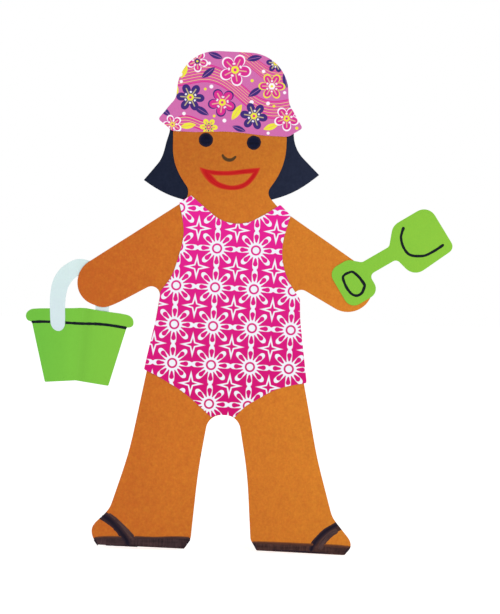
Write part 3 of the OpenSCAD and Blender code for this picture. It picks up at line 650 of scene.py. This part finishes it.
hatSheet = {
    "name": "sunHatPrinted", "node": "hat", "body": "hat", "slot": "hat_print",
    "pitch": 4.0, "thickness": 0.25, "edge": 0.08, "press": 0.5,
    "lifts": [(-40, 131, 18, 0.6), (41, 128, 18, 0.6)],
    # foot of the crown, slope and tip of the brim, left and then right
    "trims": [
        (-34.7, 141.7, 7, -0.9, 0.2), (-36.9, 137.1, 12, -0.4, 0.2), (-36.9, 126.6, 7, 0.8, 0),
        (34.1, 139.9, 8, 0.9, 0), (39.2, 133.1, 12, 0.35, 0.1), (41, 129, 8, 0, -1.0),
    ],
    "through": 0.1,
    "soft": 0.35,  # mm
    "paints": {
        "pink": tone(203, 107, 169), "hot": tone(211, 45, 141), "blush": tone(214, 134, 192),
        "cream": tone(228, 212, 146), "yellow": tone(232, 226, 62), "plum": tone(62, 42, 116),
        "white": tone(246, 240, 246),
    },
    # flowing bands: height, slant, swing, wave length, phase, half width, from and to, mm
    "bands": [
        (27, -0.30, 5.0, 58, 2.6, 5.2, -50, 50),
        (46, -0.35, 2.5, 34, 0.6, 4.2, 4, 50),
        (9, 0.12, 2.4, 30, 1.0, 3.0, -50, -12.5),
    ],
    "bandLine": 1.75,  # mm from line to line in a band
    "bandEdge": 0.7,  # mm of plain edge
    "lineBare": 0.7, "lineSoft": 0.6,  # of a line's wave
    "creamShare": 0.8, "blushShare": 0.55,
    "rib": (0.06, 0.75),  # half width, mm, and reach as a share of the leaf
    "petal": (0.58, 0.6),  # share of the size that is lobed, and how full the lobes are
    "rim": 0.9,  # mm
    "vein": (0.3, 0.4, 0.72, 0.7),  # half width and softness, mm, reach as a share of the size, strength
    "ring": (0.5, 0.38, 0.5, 0.4),  # half width, mm, place as a share of the size, gap and its softness
    "eye": 0.24, "eyeCore": 0.1,  # shares of the size
    # mm from the hat's middle and lower edge, half length, half width, turn, paint and rib
    "leaves": [
        (-33, 27.5, 5.2, 2.0, 115, "yellow", "hot"), (-13.5, 36, 5.0, 1.9, 40, "plum", "blush"),
        (13, 45, 4.6, 1.8, 12, "plum", "blush"), (-9.5, 46, 4.6, 1.7, 160, "plum", "blush"),
        (3.5, 13.5, 5.4, 2.0, 58, "yellow", "hot"), (-17, 14, 5.2, 2.0, 150, "plum", "blush"),
        (31.5, 33, 5.0, 1.9, 100, "plum", "blush"), (14, 25.5, 5.0, 1.9, 215, "plum", "blush"),
        (23.5, 5.5, 4.6, 1.8, 200, "yellow", "hot"), (36.5, 20, 4.6, 1.8, 60, "plum", "blush"),
        (-38, 13, 4.4, 1.7, 140, "plum", "blush"), (-24.5, 5, 4.6, 1.8, 10, "yellow", "hot"),
        (-27.5, 36.5, 4.4, 1.7, 70, "yellow", "hot"), (5, 4, 4.2, 1.6, 340, "plum", "blush"),
    ],
    # mm from the hat's middle and lower edge, size, petals, turn, petal, rim and eye
    "blossoms": [
        (2, 38, 9.4, 5, 18, "hot", "white", "yellow"),
        (-23.5, 21.5, 8.2, 6, 10, "plum", None, "yellow"),
        (23.5, 29, 7.8, 6, 0, "hot", "yellow", "white"),
        (-5, 19, 8.4, 5, 62, "hot", "plum", "yellow"),
        (13.5, 11.5, 8.0, 6, 25, "plum", None, "yellow"),
        (32.5, 10.5, 7.4, 5, 40, "hot", "white", "yellow"),
        (-33.5, 5.5, 5.8, 5, 80, "hot", "white", "yellow"),
        (-20, 42.5, 6.4, 5, 33, "hot", "white", "plum"),
        (25.5, 42.5, 5.6, 6, 15, "plum", None, "yellow"),
        (-12.5, 4.5, 5.2, 6, 5, "yellow", None, "hot"),
        (-33, 35, 4.6, 5, 10, "white", None, "hot"),
    ],
    # mm from the hat's middle and lower edge, size and paint
    "dots": [
        (-11.5, 28, 1.1, "white"), (12, 19.5, 1.2, "white"), (-15, 26.5, 0.8, "yellow"),
        (21.5, 19, 1.1, "white"), (25, 17.5, 0.8, "yellow"), (-27, 12, 1.0, "white"),
        (18.5, 37.5, 1.0, "white"), (12, 32, 0.9, "yellow"), (-3.5, 8.5, 1.1, "white"),
        (22, 1.8, 0.9, "white"), (31, 25.5, 0.9, "white"), (-9.5, 11, 0.8, "yellow"),
        (38.5, 5, 0.9, "yellow"), (-29, 30.5, 0.9, "white"), (34, 27, 0.8, "yellow"),
        (-13, 41.5, 0.9, "white"),
    ],
}


def hatColour(start, where, s):
    # garden print: flowing bands, leaves, blossoms and dots on pink
    across, _, up = start.sides(where)
    low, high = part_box(s["node"])
    right = (across - (low.x + high.x) / 2) / mm
    rise = (up - low.z) / mm
    soft, paints = s["soft"], s["paints"]
    bare, lineSoft = s["lineBare"], s["lineSoft"]
    ribHalf, ribReach = s["rib"]
    lobed, full = s["petal"]
    veinHalf, veinSoft, veinReach, veinShare = s["vein"]
    ringHalf, ringPlace, ringGap, ringSoft = s["ring"]

    def around(midX, midZ):
        x, z = right - midX, rise - midZ
        return x, z, start.sum("SQRT", x * x + z * z)

    colour = paints["pink"]
    for height, slant, swing, wave, phase, half, begin, end in s["bands"]:
        sway = start.sum("SINE", right * (2 * math.pi / wave) + phase) * swing
        off = rise - height - right * slant - sway
        band = (half - abs(off)).inside(soft) * (right - begin).inside(soft) * (end - right).inside(soft)
        colour = band.over(colour, paints["hot"])
        lines = start.sum("COSINE", off * (2 * math.pi / s["bandLine"]))
        inner = (half - s["bandEdge"] - abs(off)).inside(soft) * band
        bright = (lines - bare).inside(lineSoft) * inner * s["creamShare"]
        colour = bright.over(colour, paints["cream"])
        pale = (-bare - lines).inside(lineSoft) * inner * s["blushShare"]
        colour = pale.over(colour, paints["blush"])
    for dotX, dotZ, size, paint in s["dots"]:
        colour = (size - around(dotX, dotZ)[2]).inside(soft).over(colour, paints[paint])
    for leafX, leafZ, length, width, turn, paint, rib in s["leaves"]:
        x, z, _ = around(leafX, leafZ)
        cos, sin = math.cos(math.radians(turn)), math.sin(math.radians(turn))
        along, aside = x * cos + z * sin, abs(z * cos - x * sin)
        leaf = (width - along * along * (width / length ** 2) - aside).inside(soft)
        colour = leaf.over(colour, paints[paint])
        ribLine = (ribHalf - aside).inside(soft) * leaf * (length * ribReach - along).inside(soft)
        colour = ribLine.over(colour, paints[rib])
    for midX, midZ, size, petals, turn, paint, rim, eye in s["blossoms"]:
        x, z, away = around(midX, midZ)
        angle = start.sum("ARCTAN2", z, x) * (petals / 2) + math.radians(turn)
        lobes = abs(start.sum("COSINE", angle))
        reach = start.sum("POWER", lobes, full) * (lobed * size) + (1 - lobed) * size
        isDeep = paint in ("hot", "plum")
        if rim:
            colour = (reach - away).inside(soft).over(colour, paints[rim])
        inner = (reach - away - (s["rim"] if rim else 0.0)).inside(soft)
        colour = inner.over(colour, paints[paint])
        vein = (veinHalf - abs(start.sum("SINE", angle)) * away * (2 / petals)).inside(veinSoft)
        vein = vein * (size * veinReach - away).inside(soft) * inner * veinShare
        colour = vein.over(colour, paints["cream" if isDeep else "hot"])
        ring = (ringHalf - abs(away - size * ringPlace)).inside(soft) * (ringGap - lobes).inside(ringSoft)
        colour = (ring * inner).over(colour, paints["white" if isDeep else "plum"])
        colour = (size * s["eye"] - away).inside(soft).over(colour, paints[eye])
        eyeCore = paints["hot" if eye == "yellow" else "yellow"]
        colour = (size * s["eyeCore"] - away).inside(soft).over(colour, eyeCore)
    return colour


paperSheet(hatSheet, printedPaper("gardenPrint", hatColour, hatSheet))

# adhesive dots: thin cloudy discs behind the sheets that they hold
glue = {
    "pitch": 2.0, "thickness": 0.15, "edge": 0.1, "press": 0.4, "lifts": [], "slot": "adhesive",
    "tones": (tone(226, 222, 200), tone(242, 240, 226)),
    "cloudScale": 420.0, "bumpDepth": 0.05, "rough": 0.28, "roughCloud": 0.2, "gloss": 0.5,
}
glueDots = [
    {"name": "hatGlue", "node": "hat_dots", "body": "hat"},
    {"name": "swimsuitGlue", "node": "swimsuit_dots", "body": "swimsuit"},
    {"name": "spadeGlue", "node": "spade_dot", "body": "spade"},
    {"name": "handleGlue", "node": "handle_dot", "body": "bucket"},
]


def glueFinish(s):
    material, start, where = newFinish("clearGlue")
    cloud = start.noise(where, s["cloudScale"], 2.0)
    rough = s["rough"] + cloud * s["roughCloud"]
    closeFinish(start, cloud.over(*s["tones"]), rough, cloud, s["bumpDepth"], s["gloss"])
    return material


clearGlue = glueFinish(glue)
for spot in glueDots:
    paperSheet({**glue, **spot}, [clearGlue, clearGlue, clearGlue])

# pen marks: ribbons of ink on the sheet that carries them
ink = {
    "film": 0.04,  # mm
    "lanes": 6,  # faces across a ribbon
    "step": 0.45,  # mm along it
    "fineSteps": 24,  # from point to point, before they are evened out
    "leastSteps": 4,
    "wobble": 0.45,  # per mm, how fast the width wavers
    "blunt": 0.05,  # of a round end, as a share of the half width
    "leastHalf": 0.1,  # mm, for a ribbon that is drawn in to stay on its sheet
    "drawIn": 0.08,  # mm at a time
    "weld": 0.002,  # mm
    "ahead": 0.1,  # m, in front of every sheet
    "streakScale": (0.12, 5.0, 1.0),  # per mm along the stroke, and across its width
    "grainShare": 0.6,
    "middle": 0.45,  # of the way from dark to light
    "edgeGrain": 0.12,
    "edgeFrom": -0.08,
    "rough": 0.6,
    "roughGrain": 0.2,
    "bumpDepth": 0.04,  # mm
    "gloss": 0.06,
}
trees = {}


def frontDepth(node, x, z):
    # where a sheet's flat front is, or nothing beside the sheet
    if node not in trees:
        bm = bmesh.new()
        bm.from_mesh(nodes[node].data)
        trees[node] = BVHTree.FromBMesh(bm)
        bm.free()
    hit = trees[node].ray_cast(Vector((x, -ink["ahead"], z)), Vector((0, 1, 0)))[0]
    return hit.y if hit else None


def smoothLine(points, closed=False):
    # even steps along a soft curve through the points, mm
    count = len(points)
    spots = [Vector((x, 0, z)) for x, z in points]
    pick = (lambda i: spots[i % count]) if closed else (lambda i: spots[int(clamp(i, 0, count - 1))])
    fine = []
    for i in range(count if closed else count - 1):
        a, b, c, d = (pick(i + k) for k in (-1, 0, 1, 2))
        bow = 2 * a - 5 * b + 4 * c - d
        twist = 3 * b - a - 3 * c + d
        for k in range(ink["fineSteps"]):
            t = k / ink["fineSteps"]
            fine.append(0.5 * (2 * b + (c - a) * t + bow * t * t + twist * t ** 3))
    fine.append(pick(0) if closed else spots[-1])
    run = [0.0]
    for a, b in zip(fine, fine[1:]):
        run.append(run[-1] + (b - a).length)
    steps = max(ink["leastSteps"], round(run[-1] / ink["step"]))
    line, at = [], 0
    for k in range(steps + 1):
        want = run[-1] * k / steps
        while at < len(run) - 2 and run[at + 1] < want:
            at += 1
        share = (want - run[at]) / max(run[at + 1] - run[at], 1e-9)
        line.append(fine[at].lerp(fine[at + 1], share))
    return line


def pickAlong(values, share):
    at = share * (len(values) - 1)
    i = min(int(at), len(values) - 2)
    return values[i] + (values[i + 1] - values[i]) * (at - i)


def addRibbon(bm, nearSide, farSide):
    # strip of faces between two lines of points; its own coordinates are mm along and the share across
    count = len(nearSide)
    layer = bm.loops.layers.uv.verify()
    made = bmesh.ops.create_grid(bm, x_segments=count - 1, y_segments=ink["lanes"], size=1)["verts"]
    run = [0.0]
    for i in range(1, count):
        run.append(run[-1] + ((nearSide[i] + farSide[i]) / 2 - (nearSide[i - 1] + farSide[i - 1]) / 2).length)
    flat = {}
    for v in made:
        i = round((v.co.x + 1) / 2 * (count - 1))
        t = (v.co.y + 1) / 2
        flat[v] = (run[i], t)
        v.co = nearSide[i].lerp(farSide[i], t)
    for v in made:
        for loop in v.link_loops:
            loop[layer].uv = flat[v]


def addStroke(bm, s, points, widths, closed=False, rounded=(True, True)):
    # a pen line: its width along the way, a little uneven, round at its free ends, never off its sheet
    line = smoothLine(points, closed)
    count = len(line)
    near, far = [], []
    for i, spot in enumerate(line):
        before = line[(i - 1) % (count - 1)] if closed else line[max(i - 1, 0)]
        after = line[(i + 1) % (count - 1)] if closed else line[min(i + 1, count - 1)]
        way = (after - before).normalized()
        across = Vector((-way.z, 0, way.x))
        half = pickAlong(widths, i / (count - 1)) / 2
        end = half
        waver = noise.noise(Vector((spot.x * ink["wobble"], len(points), spot.z * ink["wobble"])))
        half *= 1 + s["uneven"] * waver
        for tip, isRound in zip((line[0], line[-1]), rounded):
            if isRound and not closed:
                half *= math.sqrt(1 - (1 - clamp((spot - tip).length / end + ink["blunt"])) ** 2)
        for side, edge in ((-1, near), (1, far)):
            out = half
            while out > ink["leastHalf"]:
                if frontDepth(s["carrier"], *((spot + across * side * out).xz * mm)) is not None:
                    break
                out -= ink["drawIn"]
            edge.append(spot + across * side * out)
    addRibbon(bm, near, far)


def closeInk(bm, s, finish, coat=0):
    # lay the ink on its sheet, on top of earlier coats, and give it its film
    bmesh.ops.remove_doubles(bm, verts=bm.verts, dist=ink["weld"])
    bmesh.ops.scale(bm, verts=bm.verts, vec=(mm, mm, mm))
    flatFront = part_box(s["node"])[1].y
    for v in bm.verts:
        depth = frontDepth(s["carrier"], v.co.x, v.co.z)
        depth = flatFront if depth is None else depth
        v.co.y = depth - forwardAt(s["lifts"], v.co.x, v.co.z) - ink["film"] * (1 + coat) * mm
    addThickness(bm, ink["film"])
    finishPiece(s["name"], bm, [finish, finish, finish], s["body"], s["node"])


def closePen(start, colour, grain):
    rough = ink["rough"] + grain * ink["roughGrain"]
    closeFinish(start, colour, rough, grain, ink["bumpDepth"], ink["gloss"])


def penFinish(name, dark, light, bleed, streak=0.9, soft=0.16, oneEdge=False):
    # felt pen: streaks along the stroke, thinner at its edges, or its far edge alone, where the ink has bled
    material, start, where = newFinish(name)
    stroke = start.node("ShaderNodeTexCoord", {}, {}, "UV")
    across = start.sides(stroke)[1]
    streaks = start.noise(start.spread(stroke, ink["streakScale"]), 1.0, 2.0)
    grain = grainAt(start, where)
    share = (streaks - 0.5) * streak + (grain - 0.5) * ink["grainShare"] + ink["middle"]
    colour = share.between(0.0, 1.0).over(dark, light)
    rim = 1 - across if oneEdge else across.least(1 - across)
    edge = (rim + (grain - 0.5) * ink["edgeGrain"]).between(ink["edgeFrom"], soft)
    closePen(start, edge.over(bleed, colour), grain)
    return material


def placed(node, points):
    # points given from the middle of a node
    low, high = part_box(node)
    mid = Vector(((low.x + high.x) / 2, 0, (low.z + high.z) / 2)) / mm
    return [(mid.x + x, mid.z + z) for x, z in points]


blackOnGreen = penFinish("blackPenOnGreen", tone(12, 14, 22), tone(30, 38, 44), tone(44, 70, 40))
blackOnCard = penFinish("blackPenOnCard", tone(7, 7, 14), tone(22, 27, 60), tone(58, 40, 44))
greyInk = penFinish("nosePen", tone(58, 44, 30), tone(96, 68, 36), tone(136, 84, 36), 0.9, 0.26)
redInk = penFinish("redPen", tone(172, 16, 24), tone(202, 34, 34), tone(200, 78, 36), 1.3, 0.26)

# the spade's marks are drawn in its own frame: along its shaft from the hand, and to its upper side
spadeFrame = {"at": (87.5, 52.3), "turn": 31.8}


def onSpade(points):
    turn = math.radians(spadeFrame["turn"])
    cos, sin = math.cos(turn), math.sin(turn)
    x, z = spadeFrame["at"]
    return [(x + a * cos - b * sin, z + a * sin + b * cos) for a, b in points]


gripMark = {
    "name": "spadeGripPen", "node": "spade_grip_line", "carrier": "spade", "body": "spade",
    "slot": "black_ink", "lifts": spadeSheet["lifts"], "uneven": 0.2,
    "widths": [1.5, 1.5, 1.6, 1.5, 1.6, 1.7, 1.5],
    "points": [
        (-15.9, 2.1), (-18.2, 2.9), (-20.2, 3.1), (-22.3, 2.3), (-23.2, -0.9), (-23.5, -4.8), (-22.8, -8.7),
        (-20.7, -11.0), (-17.6, -11.1), (-15.0, -9.3), (-13.8, -7.8), (-13.9, -5.2), (-14.3, -2.1),
    ],
}
bm = bmesh.new()
addStroke(bm, gripMark, onSpade(gripMark["points"]), gripMark["widths"], True)
closeInk(bm, gripMark, blackOnGreen)

scoopMark = {
    "name": "spadeScoopPen", "node": "spade_scoop_line", "carrier": "spade", "body": "spade",
    "slot": "black_ink", "lifts": spadeSheet["lifts"], "uneven": 0.2,
    "widths": [1.7, 1.5, 1.5, 1.6, 1.5, 1.5, 1.6],
    "points": [
        (22.8, 9.6), (20.1, 7.2), (18.4, 5.3), (17.1, 2.1), (16.6, -1.2), (17.0, -4.9),
        (18.6, -7.2), (21.0, -9.0), (24.6, -10.8), (28.4, -11.3), (32.9, -11.3), (37.6, -10.9),
    ],
}
bm = bmesh.new()
addStroke(bm, scoopMark, onSpade(scoopMark["points"]), scoopMark["widths"])
closeInk(bm, scoopMark, blackOnGreen)

rimMark = {
    "name": "bucketRimPen", "node": "bucket_rim_line", "carrier": "bucket", "body": "bucket",
    "slot": "black_ink", "lifts": [], "uneven": 0.2,
    "left": [(-112.6, 12.3), (-107.1, 12.7), (-101.6, 12.7)],
    "right": [(-92.8, 12.4), (-83.3, 12.1), (-75.0, 12.1), (-66.7, 11.5), (-57.2, 10.1)],
    "widths": [1.6, 1.6, 1.7, 1.6, 1.7],
}
bm = bmesh.new()
addStroke(bm, rimMark, rimMark["left"], rimMark["widths"], False, (True, False))
addStroke(bm, rimMark, rimMark["right"], rimMark["widths"], False, (False, True))
closeInk(bm, rimMark, blackOnGreen)

noseMark = {
    "name": "nosePen", "node": "nose", "carrier": "figure", "body": "figure", "slot": "brown_ink",
    "lifts": [], "uneven": 0.15, "widths": [1.3, 1.9, 2.1, 2.2, 2.0, 1.3],
    "points": [(-4.2, 2.3), (-3.4, 0.6), (-1.8, -0.6), (0.0, -1.0), (2.0, -0.4), (3.8, 1.4)],
}
bm = bmesh.new()
addStroke(bm, noseMark, placed("nose", noseMark["points"]), noseMark["widths"])
closeInk(bm, noseMark, greyInk)

smileMark = {
    "name": "smilePen", "node": "smile", "carrier": "figure", "body": "figure", "slot": "red_ink",
    "lifts": [], "steps": 80,
    "upperOut": [(-17.1, 6.4), (-12.4, 5.1), (-5.6, 4.5), (1.6, 4.8), (9.4, 5.9), (18.0, 6.9)],
    "upperIn": [(-10.0, 2.1), (-7.4, 1.7), (0.9, 1.9), (9.3, 2.9), (13.4, 3.3)],
    "lowerOut": [
        (18.0, 6.9), (17.2, 4.4), (15.1, 0.7), (11.8, -3.2), (7.6, -5.7), (2.0, -6.6),
        (-3.7, -6.1), (-7.8, -4.7), (-12.0, -2.0), (-15.3, 1.9), (-16.9, 4.9), (-17.1, 6.4),
    ],
    "lowerIn": [
        (13.4, 3.3), (11.8, 1.1), (8.7, -1.9), (4.0, -3.6),
        (0.0, -3.7), (-5.6, -2.0), (-8.6, 0.7), (-10.0, 2.1),
    ],
}


def evenLine(points, steps):
    line = smoothLine(points)
    return [pickAlong(line, k / steps) for k in range(steps + 1)]


lips = {
    key: evenLine(placed("smile", smileMark[key]), smileMark["steps"])
    for key in ("upperOut", "upperIn", "lowerOut", "lowerIn")
}
bm = bmesh.new()
addRibbon(bm, lips["upperIn"] + lips["lowerIn"][1:], lips["upperOut"] + lips["lowerOut"][1:])
closeInk(bm, smileMark, redInk)

eyeMarks = {
    "name": "eyesPen", "node": "eyes", "carrier": "figure", "body": "figure", "slot": "black_ink",
    "lifts": [], "size": 8.3, "sides": 48, "rings": 3, "ringStep": 0.9,
    "uneven": 0.05, "wobble": 0.5,  # per mm
    "streaks": 6,  # how much finer they are than on a line
}
bm = bmesh.new()
layer = bm.loops.layers.uv.verify()
low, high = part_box("eyes")
eyeReach = eyeMarks["size"] / 2
eyes = [(low.x / mm + eyeReach, high.z / mm - eyeReach), (high.x / mm - eyeReach, low.z / mm + eyeReach)]
for eyeX, eyeZ in eyes:
    ring = bmesh.ops.create_circle(bm, segments=eyeMarks["sides"], radius=eyeReach, cap_ends=True)["verts"]
    for v in ring:
        waver = noise.noise(Vector((v.co.x * eyeMarks["wobble"] + eyeX, v.co.y * eyeMarks["wobble"], 1.0)))
        v.co *= 1 + eyeMarks["uneven"] * waver
        v.co = Vector((v.co.x + eyeX, 0, v.co.y + eyeZ))
for k in range(eyeMarks["rings"]):
    cores = [f for f in bm.faces if len(f.verts) > 4]
    bmesh.ops.inset_region(bm, faces=cores, thickness=eyeMarks["ringStep"], use_boundary=True)
for face in bm.faces:
    for loop in face.loops:
        spot = loop.vert.co
        away = min(math.hypot(spot.x - eyeX, spot.z - eyeZ) for eyeX, eyeZ in eyes)
        loop[layer].uv = (spot.z * eyeMarks["streaks"], clamp(0.5 - away / eyeReach / 2, 0, 0.5))
closeInk(bm, eyeMarks, blackOnCard)

# sandals: a brown film to the card's edge, and more passes of the pen over it
sandals = [
    {
        "name": "leftSandal", "node": "left_sandal",
        # word, ink, widths and points of each pass
        "passes": [
            (
                "Inner", "mid", [2.8, 2.9, 2.8],
                [(-65.7, -98.0), (-61.4, -101.0), (-57.0, -105.0), (-53.2, -108.6), (-50.6, -111.4)],
            ),
            (
                "Dark", "dark", [4.0, 4.3, 4.3, 4.2, 4.2, 3.8],
                [
                    (-68.8, -98.6), (-64.6, -101.2), (-60.5, -105.0),
                    (-57.3, -108.9), (-54.6, -112.6), (-53.2, -116.0),
                ],
            ),
            ("Toe", "dark", [1.6, 1.3], [(-73.0, -112.6), (-71.2, -116.2)]),
            ("Heel", "dark", [1.8, 1.3], [(-17.4, -111.6), (-20.6, -116.3)]),
            ("Sole", "dark", [0.5, 0.9, 0.5], [(-68.0, -116.0), (-58.0, -116.2), (-48.0, -116.5)]),
            ("LipToe", "lipLeft", [1.4, 1.7, 1.6], [(-73.0, -111.9), (-66.2, -111.4), (-57.4, -111.2)]),
            (
                "LipHeel", "lipLeft", [1.5, 1.2, 1.4, 1.2],
                [(-50.0, -110.9), (-38.3, -111.0), (-26.3, -110.5), (-18.0, -110.6)],
            ),
        ],
    },
    {
        "name": "rightSandal", "node": "right_sandal",
        "passes": [
            (
                "Inner", "mid", [3.4, 3.6, 3.8, 3.4],
                [(67.6, -104.0), (63.3, -106.6), (59.6, -110.8), (57.2, -115.4)],
            ),
            (
                "Dark", "dark", [2.8, 3.0, 3.2, 3.2, 2.8],
                [(67.4, -100.9), (61.8, -104.0), (57.2, -108.3), (53.8, -112.6), (52.4, -116.6)],
            ),
            ("Toe", "dark", [1.6, 1.2], [(74.4, -113.9), (72.4, -117.4)]),
            ("Heel", "dark", [1.6, 1.2], [(18.9, -112.6), (21.0, -116.4)]),
            ("Sole", "dark", [0.5, 0.8, 0.5], [(30.0, -116.4), (44.0, -116.8), (62.0, -117.6)]),
            (
                "LipHeel", "lipRight", [1.2, 1.5, 1.6, 1.5],
                [(18.8, -112.2), (27.6, -112.4), (37.2, -112.6), (53.8, -112.9)],
            ),
            ("LipToe", "lipRight", [1.6, 1.7, 1.4], [(60.0, -113.0), (68.5, -113.3), (74.9, -113.7)]),
        ],
    },
]
sandalPen = {
    "pitch": 1.5,  # mm
    "coat": 0.3, "coatStep": 0.25,  # films, how high the first pass lies and each one after it
    "hairScale": (1300.0, 1300.0, 90.0),  # per metre
    "passScale": (45.0, 45.0, 520.0),
    "hairShare": 1.2, "passShare": 1.2, "grainShare": 0.6, "fleckShare": 0.5,
    "middle": 0.45,  # of the way from dark to light
    "left": (tone(27, 19, 25), tone(80, 58, 60)),
    "right": (tone(34, 22, 24), tone(88, 60, 55)),
    "reach": 20,  # mm either side of the middle, between the left tones and the right ones
}


def sandalFinish(s):
    # thin brown pen: upright hair lines and lengthwise passes
    material, start, where = newFinish("sandalPen")
    across = start.sides(where)[0]
    hairs = start.noise(start.spread(where, s["hairScale"]), 1.0, 2.0)
    passes = start.noise(start.spread(where, s["passScale"]), 1.0, 2.0)
    grain, fleck = grainAt(start, where), fleckAt(start, where)
    share = (hairs - 0.5) * s["hairShare"] + (passes - 0.5) * s["passShare"]
    share = share + (grain - 0.5) * s["grainShare"] + (fleck - 0.5) * s["fleckShare"] + s["middle"]
    shade = share.between(0.0, 1.0)
    side = across.between(-s["reach"] * mm, s["reach"] * mm)
    closePen(start, side.over(shade.over(*s["left"]), shade.over(*s["right"])), grain)
    return material


sandalFilm = sandalFinish(sandalPen)
# dark, light and bled tone, streaks, and how far in the edge is soft
sandalInks = {
    "mid": penFinish("sandalPenMid", tone(40, 28, 36), tone(98, 74, 70), tone(80, 54, 48), 1.6, 0.35),
    "dark": penFinish("sandalPenDark", tone(14, 11, 26), tone(40, 31, 44), tone(62, 44, 48), 1.3, 0.4),
    "lipLeft": penFinish(
        "sandalPenLipLeft", tone(36, 25, 30), tone(86, 62, 60), tone(128, 76, 42), 1.4, 0.5, True
    ),
    "lipRight": penFinish(
        "sandalPenLipRight", tone(56, 34, 30), tone(104, 66, 52), tone(146, 86, 42), 1.4, 0.5, True
    ),
}
for mark in sandals:
    mark.update({"carrier": "figure", "body": "figure", "slot": "sandal_ink", "lifts": [], "uneven": 0.1})
    bm = sheetFront(mark["node"], sandalPen["pitch"])
    trimAlong(bm, figureSheet["trims"])
    bmesh.ops.scale(bm, verts=bm.verts, vec=(1 / mm, 1 / mm, 1 / mm))
    closeInk(bm, {**mark, "name": mark["name"] + "Pen"}, sandalFilm)
    for k, (word, paint, widths, points) in enumerate(mark["passes"]):
        bm = bmesh.new()
        addStroke(bm, mark, points, widths)
        coat = sandalPen["coat"] + sandalPen["coatStep"] * k
        closeInk(bm, {**mark, "name": mark["name"] + word}, sandalInks[paint], coat)

print("all pieces made")
